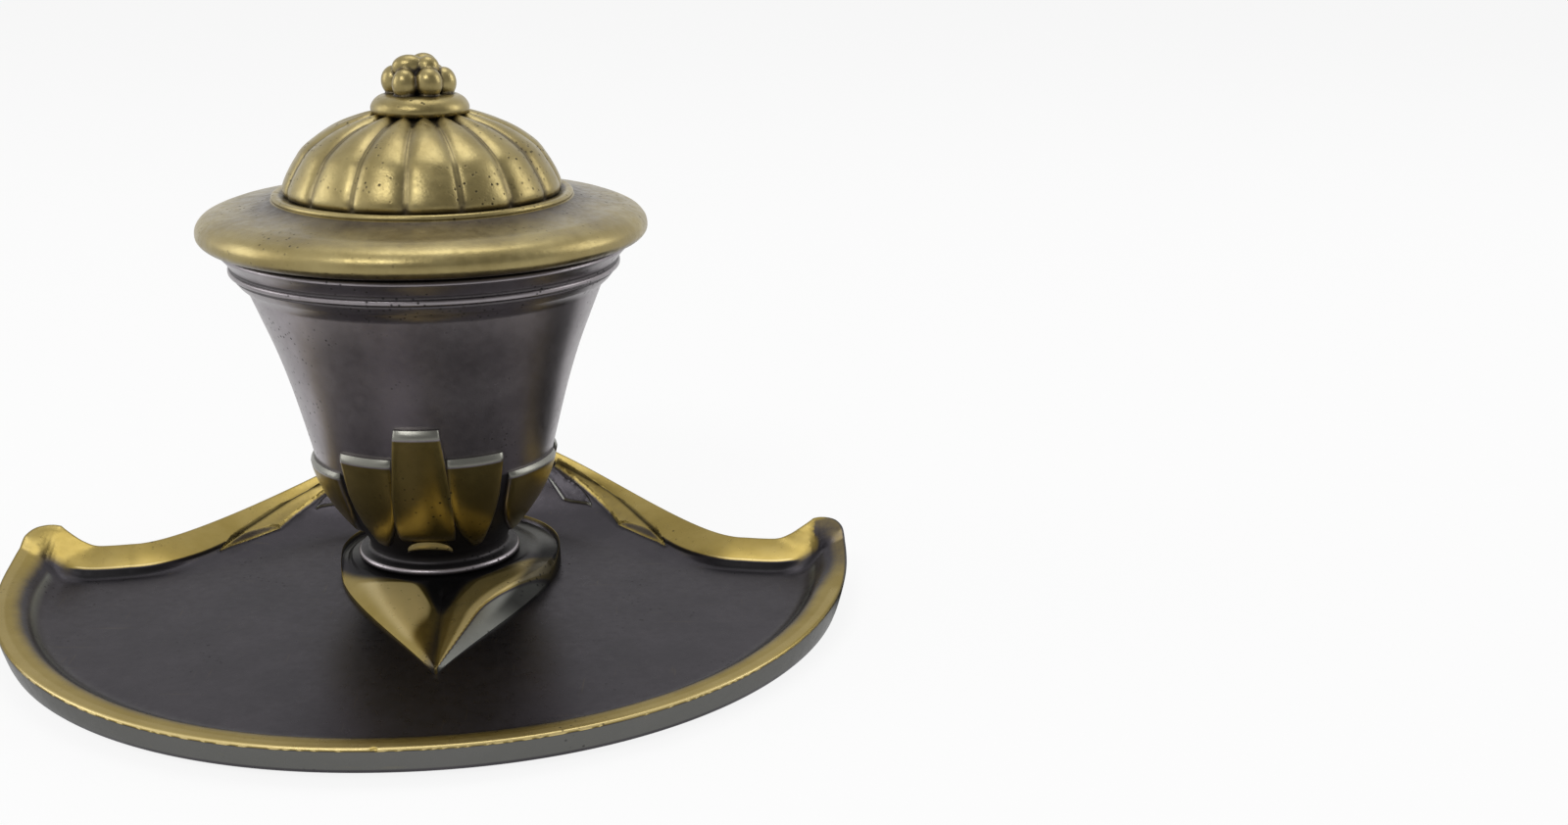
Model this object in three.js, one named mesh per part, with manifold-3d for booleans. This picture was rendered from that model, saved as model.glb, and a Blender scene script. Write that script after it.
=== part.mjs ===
// Desk inkstand: a cast pen tray that carries an urn with a glass ink well and a hinged, ribbed lid.
// Millimetres, +Z up, the front of the tray towards -Y, the origin on the table under the urn's axis.
import * as THREE from 'three';
import { mergeVertices } from 'three/addons/utils/BufferGeometryUtils.js';
import Module from 'manifold-3d';

const wasm = await Module();
wasm.setup();

// Felt under the tray
const feltThickness = 1.2;
const feltInset = 2.4;

// Tray outline
const trayHalfWidth = 76.8;
const traySideY = -4;
const trayFrontDepth = 78.6;
const trayFrontPower = 2.06;
const hornX = 74.9;
const hornY = 3.6;
const hornRadius = 3.6;
const bayX = 64;
const bayY = 0.5;
const backReach = 43;
const backWaistX = 58;
const backWaistY = 1.9;
const poleY = -15;

// Tray section
const trayFloorHeight = 3.6;
const trayWall = 2.4;
const rimFrontHeight = 6;
const rimSideHeight = 7.6;
const hornHeight = 11.5;
const rimDipHeight = 7.6;
const crestHeight = 17.5;
const rimWidth = 4.6;
const rimEdgeDrop = 1.1;
const rimBackTilt = 1.7;
const rimTaper = 1.4;
const rimFoot = 3.4;
const frontSweep = 4;
const hornSweep = 2.6;
const crestSweep = 25;

// Heart-shaped plinth under the urn, set a little to the right, and its tip more so
const plinthHalfWidth = 20.5;
const plinthTip = 52.5;
const plinthShift = 2.2;
const plinthLean = 1.8;
const plinthBack = 21;
const seatHeight = 6.5;
const plinthRidgeHeight = 8.4;
const plinthTipHeight = 5.8;
const plinthSink = 0.8;
const seatRadius = 16.2;
const plinthSteps = 9;

// Feathers on the rising back of the tray: lower and upper edge as shares of the tray's reach behind the urn
const featherLift = 1;
const featherSink = 1.2;
const innerFeatherShares = [
  [0.2, 0.8, 0.25, 0.83],
  [0.32, 0.76, 0.4, 0.78],
  [0.42, 0.7, 0.51, 0.7],
  [0.47, 0.66, 0.59, 0.6],
  [0.63, 0.53, 0.64, 0.52],
];
const outerFeatherShares = [
  [0.3, 0.83, 0.34, 0.85],
  [0.46, 0.76, 0.53, 0.79],
  [0.6, 0.62, 0.69, 0.66],
  [0.7, 0.5, 0.82, 0.51],
  [0.77, 0.4, 0.9, 0.38],
  [0.99, 0.22, 1, 0.21],
];

// Urn
const footRadius = 15;
const footThickness = 1.5;
const neckRadius = 12.8;
const neckHeight = 3;
const bowlRadius = 21.9;
const bowlHeight = 20.5;
const flareStep = 3.2;
const flareRise = 31.6;
const mouldingStep = 1.6;
const mouldingRise = 3.7;
const urnRimRadius = 36.5;
const urnRimRise = 3.9;
const urnRimWall = 4.1;
const urnWall = 2.6;
const urnFloorHeight = 11;
const beadStep = 0.8;

// Courses of the urn's wall: share of the height and share of the radius
const bowlShares = [[0, 0], [0.1, 0.09], [0.26, 0.31], [0.48, 0.61], [0.69, 0.82], [0.88, 0.95], [1, 1]];
const flareShares = [[0, 0], [0.18, 0.14], [0.42, 0.34], [0.65, 0.57], [0.88, 0.85], [1, 1]];

// Staves round the bowl of the urn
const staveRelief = 1.3;
const staveSink = 0.7;
const lipRelief = 1.5;
const lipHeight = 2.9;
const lipAngle = 17;
const tallStaveTop = 31;
const tallStaveBottom = 7.2;
const middleStaveTop = 25;
const lowStaveTop = 20.5;
const outerStaveBottom = 4.9;
const tallStaveAngle = 9.2;
const tallStaveFootAngle = 18;
const middleStaveNear = 11.4;
const middleStaveFar = 38;
const middleStaveTip = 33;
const lowStaveNear = 42.5;
const lowStaveFar = 86;
const lowStaveTip = 76;
const staveTipAngle = 5;

// Rows of a stave: share of its height and share of its relief
const staveRowShares = [[0, 0.5], [0.05, 0.9], [0.16, 1], [0.36, 1], [0.62, 1], [0.86, 1], [0.93, 0.85], [1, 0.35]];

// Deck that holds the well in the mouth of the urn
const deckThickness = 1.6;
const deckDepth = 3.6;
const deckLedge = 3.4;

// Glass well
const wellRadius = 17.9;
const wellTaper = 1.9;
const wellFootGap = 9.7;
const wellWall = 2.4;
const wellFlangeReach = 3.6;
const wellFlange = 2;

// Lid
const lidGap = 0.5;
const brimOverhang = 3.5;
const brimThickness = 6;
const brimRise = 2.4;
const beadRadius = 27.7;
const domeRadius = 25.9;
const domeHeight = 14.6;
const domeTopRadius = 7.6;
const domeWall = 2.6;
const ribCount = 16;
const ribDepth = 1;
const spigotDepth = 1.8;
const spigotPlay = 0.6;
const spigotWall = 2.2;

// Courses of the lid: one rib's grooves, then the brim inwards and up from its outer edge,
// the dome outside with its share of the rib, and the dome inside, both as shares of radius and height
const ribLobeShares = [1, 0.12, 0, 0.12];
const brimShares = [[0.5, 0], [0.2, 0.08], [0.03, 0.24], [0, 0.42], [0.05, 0.6], [0.2, 0.78], [0.42, 0.9], [0.7, 1]];
const domeShares = [
  [0.99, 0.08, 0.3],
  [0.975, 0.15, 0.9],
  [0.935, 0.27, 1],
  [0.875, 0.42, 1],
  [0.8, 0.57, 1],
  [0.7, 0.71, 1],
  [0.58, 0.83, 0.9],
  [0.43, 0.93, 0.6],
];
const innerDomeShares = [[0.3, 1], [0.52, 0.92], [0.72, 0.76], [0.87, 0.55], [0.96, 0.3], [1, 0.05]];

// Finial
const collarRadius = 8.7;
const collarThickness = 3.2;
const coreRadius = 4.3;
const finialHeight = 10;
const lowerBerryCount = 6;
const lowerBerryRadius = 2.4;
const upperBerryCount = 3;
const upperBerryRadius = 2.5;

// Finial stud with its washer and nut
const studRadius = 1.4;
const studIntoFinial = 4.6;
const studBelowNut = 0.6;
const finialWasherRadius = 4;
const finialWasherThickness = 0.7;
const finialNutRadius = 3.2;
const finialNutThickness = 2.4;

// Hinge
const barrelRadius = 2;
const pinRadius = 0.8;
const pinOverhang = 0.4;
const lidKnuckleWidth = 6;
const urnKnuckleWidth = 4.5;
const leafThickness = 1;
const urnLeafHeight = 8.4;
const lidLeafDepth = 3.6;
const padDepth = 0.4;
const padHeight = 9.6;
const hingeScrewRadius = 0.9;
const hingeScrewHeadRadius = 1.5;
const hingeScrewHead = 0.7;
const hingeScrewLength = 3.4;

// Screw that holds the urn to the tray
const urnScrewRadius = 2;
const urnScrewLength = 10.5;
const urnScrewHeadRadius = 3.8;
const urnScrewHead = 1.9;
const slotWidth = 0.9;
const slotDepth = 0.8;
const urnWasherRadius = 5.4;
const urnWasherThickness = 0.8;
const screwPocketRadius = 8;

// Clearances and fineness
const clearance = 0.3;
const threadClearance = 0.15;
const knuckleGap = 0.3;
const overrun = 1;
const outlineSteps = 40;
const roundSteps = 48;
const smallSteps = 20;
const lipSteps = 8;

// Places worked out from the sizes
const trayBase = feltThickness;
const urnBase = seatHeight;
const mouldingRadius = urnRimRadius - mouldingStep;
const flareRadius = mouldingRadius - flareStep;
const boreRadius = urnRimRadius - urnRimWall;
const deckRadius = boreRadius - clearance;
const spigotRadius = boreRadius - spigotPlay;
const brimRadius = urnRimRadius + brimOverhang;
const wellFootRadius = wellRadius - wellTaper;
const wellFlangeRadius = wellRadius + wellFlangeReach;
const flareHeight = bowlHeight + flareRise;
const mouldingHeight = flareHeight + mouldingRise;
const urnHeight = mouldingHeight + urnRimRise;
const urnTop = urnBase + urnHeight;
const lidBase = urnTop + lidGap;
const brimTop = lidBase + brimThickness;
const domeBase = brimTop + brimRise;
const domeTop = domeBase + domeHeight;
const deckBase = urnTop - deckDepth;
const wellSeat = deckBase + deckThickness;
const wellBottom = urnBase + urnFloorHeight + wellFootGap;
const hingeZ = urnTop + lidGap / 2;
const padY = urnRimRadius + padDepth;
const hingeY = padY + barrelRadius;
const hingeWidth = lidKnuckleWidth + 2 * (urnKnuckleWidth + knuckleGap);

// Casting, glass, felt and steel
const finish = {
  casting: { color: 0x57524f, roughness: 0.38, metalness: 0.85 },
  lidBronze: { color: 0x8f8052, roughness: 0.34, metalness: 0.9 },
  brass: { color: 0xa08a4e, roughness: 0.4, metalness: 0.9 },
  steel: { color: 0x8c8c8a, roughness: 0.35, metalness: 1 },
  glass: { color: 0xdfe8e6, roughness: 0.06, metalness: 0 },
  felt: { color: 0x2f5a3c, roughness: 0.95, metalness: 0 },
};

// Turns a geometry inside out when its faces point in
function facingOut(geometry) {
  const place = geometry.getAttribute('position');
  const index = geometry.getIndex();
  const corner = [new THREE.Vector3(), new THREE.Vector3(), new THREE.Vector3()];
  let volume = 0;
  for (let i = 0; i < index.count; i += 3) {
    corner.forEach((point, k) => point.fromBufferAttribute(place, index.getX(i + k)));
    volume += corner[0].dot(corner[1].clone().cross(corner[2]));
  }
  if (volume < 0) {
    for (let i = 0; i < index.count; i += 3) {
      const first = index.getX(i);
      index.setX(i, index.getX(i + 1));
      index.setX(i + 1, first);
    }
  }
  return geometry;
}

// Keeps only the places of a geometry, with shared corners merged
function welded(geometry) {
  const bare = geometry.clone();
  bare.deleteAttribute('normal');
  bare.deleteAttribute('uv');
  return facingOut(mergeVertices(bare));
}

function solid(geometry) {
  const bare = welded(geometry);
  return new wasm.Manifold(new wasm.Mesh({
    numProp: 3,
    vertProperties: new Float32Array(bare.getAttribute('position').array),
    triVerts: new Uint32Array(bare.getIndex().array),
  }));
}

function geometryOf(body) {
  const mesh = body.getMesh();
  const geometry = new THREE.BufferGeometry();
  geometry.setAttribute('position', new THREE.BufferAttribute(mesh.vertProperties, 3));
  geometry.setIndex(new THREE.BufferAttribute(mesh.triVerts, 1));
  return geometry;
}

function joined(bodies) {
  return bodies.reduce((whole, body) => whole.add(body));
}

function cut(body, tools) {
  return tools.reduce((whole, tool) => whole.subtract(tool), body);
}

// A closed body through rings of points, each end closed on its middle
function loft(rings) {
  const count = rings[0].length;
  const points = rings.flat();
  const faces = [];
  for (let row = 0; row + 1 < rings.length; row += 1) {
    for (let k = 0; k < count; k += 1) {
      const a = row * count + k;
      const b = row * count + (k + 1) % count;
      faces.push(a, b, b + count, a, b + count, a + count);
    }
  }
  for (const row of [0, rings.length - 1]) {
    const middle = new THREE.Vector3();
    rings[row].forEach((point) => middle.add(point));
    points.push(middle.divideScalar(count));
    for (let k = 0; k < count; k += 1) {
      const a = row * count + k;
      const b = row * count + (k + 1) % count;
      if (row === 0) faces.push(points.length - 1, b, a);
      else faces.push(points.length - 1, a, b);
    }
  }
  const geometry = new THREE.BufferGeometry().setFromPoints(points);
  geometry.setIndex(faces);
  return facingOut(geometry);
}

// A round body about the Z axis from a profile of [radius, height] pairs that ends on the axis
function turned(profile, steps = roundSteps) {
  const points = profile.map(([radius, height]) => new THREE.Vector2(radius, height));
  return new THREE.LatheGeometry(points, steps).rotateX(Math.PI / 2);
}

// A ring about the Z axis from a profile that closes on itself
function turnedRing(profile, steps = roundSteps) {
  return turned([...profile, profile[0]], steps);
}

// An upright cylinder between two heights
function post(radius, low, high, steps = smallSteps, x = 0, y = 0) {
  const height = high - low;
  const geometry = new THREE.CylinderGeometry(radius, radius, height, steps);
  return geometry.rotateX(Math.PI / 2).translate(x, y, low + height / 2);
}

// A cylinder along X about the hinge's axis
function axle(radius, from, to) {
  const length = to - from;
  const geometry = new THREE.CylinderGeometry(radius, radius, length, smallSteps);
  return geometry.rotateZ(Math.PI / 2).translate(from + length / 2, hingeY, hingeZ);
}

function block(x0, x1, y0, y1, z0, z1) {
  const geometry = new THREE.BoxGeometry(x1 - x0, y1 - y0, z1 - z0);
  return geometry.translate((x0 + x1) / 2, (y0 + y1) / 2, (z0 + z1) / 2);
}

// Right half of the tray's outline, from the middle of the front to the middle of the back
function halfOutline() {
  const points = [];
  const frontSteps = outlineSteps * 0.45;
  for (let i = 0; i < frontSteps; i += 1) {
    const turn = (i / frontSteps) * Math.PI / 2;
    points.push(new THREE.Vector2(
      trayHalfWidth * Math.sin(turn) ** (2 / trayFrontPower),
      traySideY - trayFrontDepth * Math.cos(turn) ** (2 / trayFrontPower),
    ));
  }
  const side = new THREE.CubicBezierCurve(
    new THREE.Vector2(trayHalfWidth, traySideY),
    new THREE.Vector2(trayHalfWidth, traySideY / 2),
    new THREE.Vector2(hornX + hornRadius / 2, hornY),
    new THREE.Vector2(hornX - hornRadius, hornY),
  );
  const bay = new THREE.CubicBezierCurve(
    new THREE.Vector2(hornX - hornRadius, hornY),
    new THREE.Vector2(bayX + hornRadius, bayY),
    new THREE.Vector2(bayX, bayY),
    new THREE.Vector2(backWaistX, backWaistY),
  );
  const back = new THREE.CubicBezierCurve(
    new THREE.Vector2(backWaistX, backWaistY),
    new THREE.Vector2(backWaistX * 0.81, backWaistY * 1.3),
    new THREE.Vector2(backWaistX * 0.6, backReach),
    new THREE.Vector2(0, backReach),
  );
  points.push(...side.getSpacedPoints(outlineSteps * 0.2).slice(0, -1));
  points.push(...bay.getSpacedPoints(outlineSteps * 0.1).slice(0, -1));
  points.push(...back.getSpacedPoints(outlineSteps * 0.35));
  return points;
}

// Whole outline, counterclockwise from the middle of the front
function wholeOutline() {
  const right = halfOutline();
  const left = right.slice(1, -1).reverse().map((point) => new THREE.Vector2(-point.x, point.y));
  return [...right, ...left];
}

// Height of the rim's top over the table at a point of the outline
function rimHeight(point) {
  const x = Math.abs(point.x);
  if (point.y < traySideY) {
    return rimFrontHeight + (rimSideHeight - rimFrontHeight) * (x / trayHalfWidth) ** 4;
  }
  if (x > backWaistX) {
    const along = THREE.MathUtils.smoothstep(point.y, traySideY, hornY - hornRadius / 4);
    const side = rimSideHeight + (hornHeight - rimSideHeight) * along;
    const across = THREE.MathUtils.smoothstep(x, bayX, hornX);
    return x > hornX - hornRadius / 2 ? side : rimDipHeight + (side - rimDipHeight) * across;
  }
  const share = 1 - (x / backWaistX) ** 2;
  return rimDipHeight + (crestHeight - rimDipHeight) * share ** 3.75;
}

// How far the floor takes to climb to the rim at a point of the outline
function sweepWidth(point) {
  const x = Math.abs(point.x);
  if (point.y < traySideY) return frontSweep;
  if (x > backWaistX) return hornSweep;
  return hornSweep + (crestSweep - hornSweep) * (1 - (x / backWaistX) ** 2) ** 1.3;
}

// Stations of the outline with what the tray's surface needs there
function trayStations() {
  const outline = wholeOutline();
  const count = outline.length;
  return outline.map((point, i) => {
    const along = outline[(i + 1) % count].clone().sub(outline[(i + count - 1) % count]).normalize();
    const normal = new THREE.Vector2(along.y, -along.x);
    const ray = new THREE.Vector2(-point.x, poleY - point.y);
    const reach = ray.length();
    ray.divideScalar(reach);
    const slant = Math.max(-ray.dot(normal), 0.55);
    const tilt = rimBackTilt * THREE.MathUtils.smoothstep(point.y, traySideY, hornY);
    return { point, ray, reach, slant, tilt, rim: rimHeight(point), sweep: sweepWidth(point) };
  });
}

// Place at a distance inside the outline, measured square to it
function inside(station, distance) {
  return station.point.clone().addScaledVector(station.ray, distance / station.slant);
}

// Height of the floor at a distance inside the rim's inner edge
function floorHeight(station, distance) {
  const edge = station.rim - rimEdgeDrop - station.tilt;
  const left = Math.max(0, 1 - distance / station.sweep);
  return trayFloorHeight + (edge - trayFloorHeight) * left ** 2;
}

function ringAt(stations, placeOf) {
  return stations.map((station) => {
    const [flat, height] = placeOf(station);
    return new THREE.Vector3(flat.x, flat.y, height);
  });
}

// The tray's shell from under its middle, round the foot and the rolled rim, to the middle of its floor
function trayShell(stations) {
  const edge = (distance, drop) => ringAt(stations, (station) => [
    inside(station, distance),
    station.rim - drop - station.tilt * (distance / rimWidth),
  ]);
  const foot = (distance) => ringAt(stations, (station) => [inside(station, distance), trayBase]);
  const swept = (share, heightOf) => ringAt(stations, (station) => {
    const distance = station.sweep * share;
    return [inside(station, rimWidth + distance), heightOf(floorHeight(station, distance))];
  });
  const under = (height) => Math.max(trayBase, height - trayWall);
  const middle = (height) => ringAt(stations, (station) => {
    const start = (rimWidth + station.sweep) / station.slant;
    const distance = (start + station.reach) / 2;
    return [station.point.clone().addScaledVector(station.ray, distance), height];
  });
  const shares = [0.12, 0.32, 0.6, 1];
  return solid(loft([
    middle(trayBase),
    ...[1, 0.6, 0.12].map((share) => swept(share, under)),
    foot(rimFoot),
    foot(rimTaper),
    edge(0, rimEdgeDrop * 1.3),
    edge(rimWidth * 0.12, rimEdgeDrop * 0.4),
    edge(rimWidth * 0.4, 0),
    edge(rimWidth * 0.75, rimEdgeDrop * 0.3),
    edge(rimWidth, rimEdgeDrop),
    ...shares.map((share) => swept(share, (height) => height)),
    middle(trayFloorHeight),
  ]));
}

// Height of the tray's floor at a place inside the rim
function floorAt(stations, x, y) {
  const turnOf = (px, py) => Math.atan2(px, poleY - py);
  const turn = turnOf(x, y);
  const near = stations.reduce((best, station) => {
    const away = Math.abs(turnOf(station.point.x, station.point.y) - turn);
    return away < best.away ? { station, away } : best;
  }, { away: Infinity }).station;
  const distance = (near.reach - Math.hypot(x, y - poleY)) * near.slant - rimWidth;
  return floorHeight(near, Math.max(distance, 0));
}

// Right half of the plinth's heart, from its back to its tip
function plinthHalf() {
  const lobe = new THREE.CubicBezierCurve(
    new THREE.Vector2(0, plinthBack),
    new THREE.Vector2(plinthHalfWidth * 0.6, plinthBack),
    new THREE.Vector2(plinthHalfWidth, plinthBack * 0.55),
    new THREE.Vector2(plinthHalfWidth, 0),
  );
  const flank = new THREE.CubicBezierCurve(
    new THREE.Vector2(plinthHalfWidth, 0),
    new THREE.Vector2(plinthHalfWidth, -plinthTip * 0.32),
    new THREE.Vector2(plinthHalfWidth * 0.44, -plinthTip * 0.6),
    new THREE.Vector2(0, -plinthTip),
  );
  return [...lobe.getPoints(plinthSteps).slice(0, -1), ...flank.getPoints(plinthSteps + 2)];
}

// Heart-shaped plinth: steep flanks, a ridge that runs to the tip, and a dish with the urn's flat seat
function plinth() {
  const right = plinthHalf();
  const left = right.slice(1, -1).reverse().map((point) => new THREE.Vector2(-point.x, point.y));
  const outline = [...right, ...left];
  const ring = (share, heightOf) => outline.map((point) => {
    const tipShare = Math.max(0, -point.y / plinthTip) ** 1.5;
    return new THREE.Vector3(point.x * share + plinthShift + plinthLean * tipShare, point.y * share, heightOf(tipShare));
  });
  const seat = (height) => outline.map((point) => {
    const flat = point.clone().setLength(seatRadius);
    return new THREE.Vector3(flat.x, flat.y, height);
  });
  const ridge = (tipShare) => plinthRidgeHeight + (plinthTipHeight - plinthRidgeHeight) * tipShare;
  return solid(loft([
    ring(1, () => trayFloorHeight - plinthSink),
    ring(0.97, () => trayFloorHeight + plinthSink / 2),
    ring(0.88, (tipShare) => ridge(tipShare) - plinthSink / 2),
    ring(0.82, ridge),
    seat(seatHeight),
  ]));
}

// A raised feather that lies on the swept floor, broad at its end and thin at its root
function feather(stations, shares, side) {
  const rows = shares.map(([lowX, lowY, highX, highY], row) => {
    const lift = featherLift * (0.3 + 0.7 * (row / (shares.length - 1)));
    const corner = (shareX, shareY, rise) => {
      const x = shareX * backReach;
      const y = shareY * backReach;
      return new THREE.Vector3(side * x, y, floorAt(stations, x, y) + rise);
    };
    return [
      corner(lowX, lowY, -featherSink),
      corner(lowX, lowY, lift),
      corner((lowX + highX) / 2, (lowY + highY) / 2, lift),
      corner(highX, highY, lift),
      corner(highX, highY, -featherSink),
    ];
  });
  return solid(loft(rows));
}

function trayGeometry(stations) {
  const feathers = [1, -1].flatMap((side) => [
    feather(stations, innerFeatherShares, side),
    feather(stations, outerFeatherShares, side),
  ]);
  const screwPlace = seatHeight - trayWall;
  return geometryOf(cut(joined([trayShell(stations), plinth(), ...feathers]), [
    solid(post(screwPocketRadius, trayBase - overrun, screwPlace)),
    solid(post(urnScrewRadius + clearance, screwPlace - overrun, seatHeight + overrun)),
  ]));
}

function feltGeometry(stations) {
  const outline = stations.map((station) => inside(station, rimTaper + feltInset));
  return new THREE.ExtrudeGeometry(new THREE.Shape(outline), { depth: feltThickness, bevelEnabled: false });
}

// Radius of the urn's wall at a height over its base
function urnRadius(height) {
  const stretch = (shares, low, high, inner, outer) => shares.map(([up, out]) => [
    low + (high - low) * up,
    inner + (outer - inner) * out,
  ]);
  const course = [
    ...stretch(bowlShares, neckHeight, bowlHeight, neckRadius, bowlRadius),
    ...stretch(flareShares, bowlHeight, flareHeight, bowlRadius, flareRadius),
    [mouldingHeight, mouldingRadius],
  ];
  const reached = Math.min(height, mouldingHeight);
  const next = Math.max(1, course.findIndex(([level]) => level >= reached));
  const [low, inner] = course[next - 1];
  const [high, outer] = course[next];
  return inner + (outer - inner) * ((reached - low) / (high - low));
}

// The urn's wall in section: foot, neck, bowl, flare, moulding and rim outside, the hollow inside
function urnProfile() {
  const levels = [
    ...bowlShares.map(([up]) => neckHeight + (bowlHeight - neckHeight) * up),
    ...flareShares.slice(1).map(([up]) => bowlHeight + (flareHeight - bowlHeight) * up),
  ];
  const outside = levels.map((level) => [urnRadius(level), level]);
  const innerLevels = levels.filter((level) => level > urnFloorHeight + urnWall);
  const innerSide = innerLevels.map((level) => [urnRadius(level) - urnWall, level]);
  const ledge = boreRadius - deckLedge;
  return [
    [0, 0],
    [footRadius - footThickness / 4, 0],
    [footRadius, footThickness / 2],
    [footRadius - footThickness / 4, footThickness],
    [neckRadius, footThickness * 1.2],
    ...outside,
    [(flareRadius + mouldingRadius) / 2, flareHeight + urnWall / 2],
    [mouldingRadius - beadStep / 2, mouldingHeight - beadStep],
    [mouldingRadius, mouldingHeight],
    [mouldingRadius, mouldingHeight + urnRimRise * 0.2],
    [(mouldingRadius + urnRimRadius) / 2, mouldingHeight + urnRimRise * 0.5],
    [urnRimRadius, mouldingHeight + urnRimRise * 0.85],
    [urnRimRadius - beadStep / 2, urnHeight],
    [boreRadius, urnHeight],
    [boreRadius, urnHeight - deckDepth],
    [ledge, urnHeight - deckDepth],
    ...innerSide.reverse(),
    [urnRadius(urnFloorHeight + urnWall) - urnWall * 1.5, urnFloorHeight + urnWall * 0.6],
    [urnRadius(urnFloorHeight) - urnWall * 2.5, urnFloorHeight],
    [0, urnFloorHeight],
  ];
}

// One stave: a bent plate on the bowl, between two edges that wander with the height
function stave({ from, to, top, bottom, relief }, turn, side) {
  const rows = staveRowShares.map(([up, proud]) => {
    const level = bottom + (top - bottom) * up;
    const spot = (share, out) => {
      const angle = turn + side * THREE.MathUtils.degToRad(from(up) + (to(up) - from(up)) * share);
      const radius = urnRadius(level) + out;
      return new THREE.Vector3(radius * Math.sin(angle), -radius * Math.cos(angle), urnBase + level);
    };
    const crown = [0, 0.12, 0.5, 0.88, 1];
    const front = crown.map((share) => spot(share, relief * proud * (share % 1 === 0 ? 0.72 : 1)));
    return [...front, spot(1, -staveSink), spot(0.5, -staveSink), spot(0, -staveSink)];
  });
  return solid(loft(rows));
}

// Crescent lip on the neck under a tall stave
function lip(turn) {
  const shares = Array.from({ length: lipSteps + 1 }, (unused, k) => (2 * k) / lipSteps - 1);
  const rows = shares.map((share) => {
    const angle = turn + THREE.MathUtils.degToRad(lipAngle * share);
    const swell = Math.sqrt(1.05 - share ** 2);
    const low = outerStaveBottom + (lipHeight / 2) * (1 - swell);
    const section = [
      [-staveSink, low],
      [lipRelief * swell, low],
      [lipRelief * swell, low + (lipHeight * swell) / 2],
      [(lipRelief * swell) / 2, low + lipHeight * swell],
      [-staveSink, low + lipHeight * swell],
    ];
    return section.map(([out, level]) => {
      const radius = urnRadius(level) + out;
      return new THREE.Vector3(radius * Math.sin(angle), -radius * Math.cos(angle), urnBase + level);
    });
  });
  return solid(loft(rows));
}

// Ten staves in steps down from the tall one at the front, and the same again at the back
function staves() {
  const tall = {
    from: (up) => -tallStaveFootAngle + (tallStaveFootAngle - tallStaveAngle) * up,
    to: (up) => tallStaveFootAngle - (tallStaveFootAngle - tallStaveAngle) * up,
    top: tallStaveTop,
    bottom: tallStaveBottom,
    relief: staveRelief * 1.2,
  };
  const leaning = (near, far, tip, top, relief) => ({
    from: (up) => near + (tip - near) * (1 - up) ** 4,
    to: (up) => far + (tip + staveTipAngle - far) * (1 - up) ** 8,
    top,
    bottom: outerStaveBottom,
    relief,
  });
  const middle = leaning(middleStaveNear, middleStaveFar, middleStaveTip, middleStaveTop, staveRelief);
  const low = leaning(lowStaveNear, lowStaveFar, lowStaveTip, lowStaveTop, staveRelief * 0.8);
  return [0, Math.PI].flatMap((turn) => [
    lip(turn),
    stave(tall, turn, 1),
    ...[1, -1].flatMap((side) => [stave(middle, turn, side), stave(low, turn, side)]),
  ]);
}

// Flat pad at the back of the urn's rim that the hinge leaf is screwed to
function hingePad() {
  const halfWidth = hingeWidth / 2 + clearance;
  const wallAt = (level) => urnRadius(level) - urnWall * 0.62;
  const low = urnHeight - padHeight;
  const rim = urnHeight - deckDepth;
  const shape = new THREE.Shape([
    new THREE.Vector2(wallAt(low - urnWall), urnBase + low - urnWall),
    new THREE.Vector2(padY, urnBase + low),
    new THREE.Vector2(padY, urnTop),
    new THREE.Vector2(wallAt(rim), urnTop),
    new THREE.Vector2(wallAt(rim), urnBase + rim),
    new THREE.Vector2(wallAt(flareHeight), urnBase + flareHeight),
  ]);
  const geometry = new THREE.ExtrudeGeometry(shape, { depth: 2 * halfWidth, bevelEnabled: false });
  geometry.applyMatrix4(new THREE.Matrix4().set(0, 0, 1, -halfWidth, 1, 0, 0, 0, 0, 1, 0, 0, 0, 0, 0, 1));
  return solid(geometry);
}

// Places of the two screws in each hinge leaf, across the hinge
const hingeScrewX = (hingeWidth - lidKnuckleWidth) / 2;
const urnLeafScrewZ = urnTop - padHeight * 0.58;
const lidLeafScrewY = padY - knuckleGap - lidLeafDepth / 2;

// Holes for a leaf's two screws, along Z up from the leaf's face
function screwHoles(toPlace) {
  const hole = post(hingeScrewRadius + threadClearance, -overrun, hingeScrewLength + threadClearance);
  return [-hingeScrewX, hingeScrewX].map((x) => solid(toPlace(hole.clone()).translate(x, 0, 0)));
}

const ontoUrnLeaf = (geometry) => geometry.rotateX(Math.PI / 2).translate(0, padY + leafThickness, urnLeafScrewZ);
const ontoLidLeaf = (geometry) => geometry.translate(0, lidLeafScrewY, lidBase);

function urnGeometry() {
  const wall = solid(turned(urnProfile()).translate(0, 0, urnBase));
  const screwTop = seatHeight - trayWall - urnWasherThickness + urnScrewLength;
  return geometryOf(cut(joined([wall, ...staves(), hingePad()]), [
    solid(post(urnScrewRadius + threadClearance, urnBase - overrun, screwTop + clearance)),
    solid(axle(barrelRadius + knuckleGap, -lidKnuckleWidth / 2 - knuckleGap, lidKnuckleWidth / 2 + knuckleGap)),
    ...screwHoles(ontoUrnLeaf),
  ]));
}

function deckGeometry() {
  const hole = wellRadius + clearance;
  return turnedRing([
    [hole, deckBase],
    [deckRadius, deckBase],
    [deckRadius, wellSeat],
    [hole, wellSeat],
  ], smallSteps * 2);
}

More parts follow.
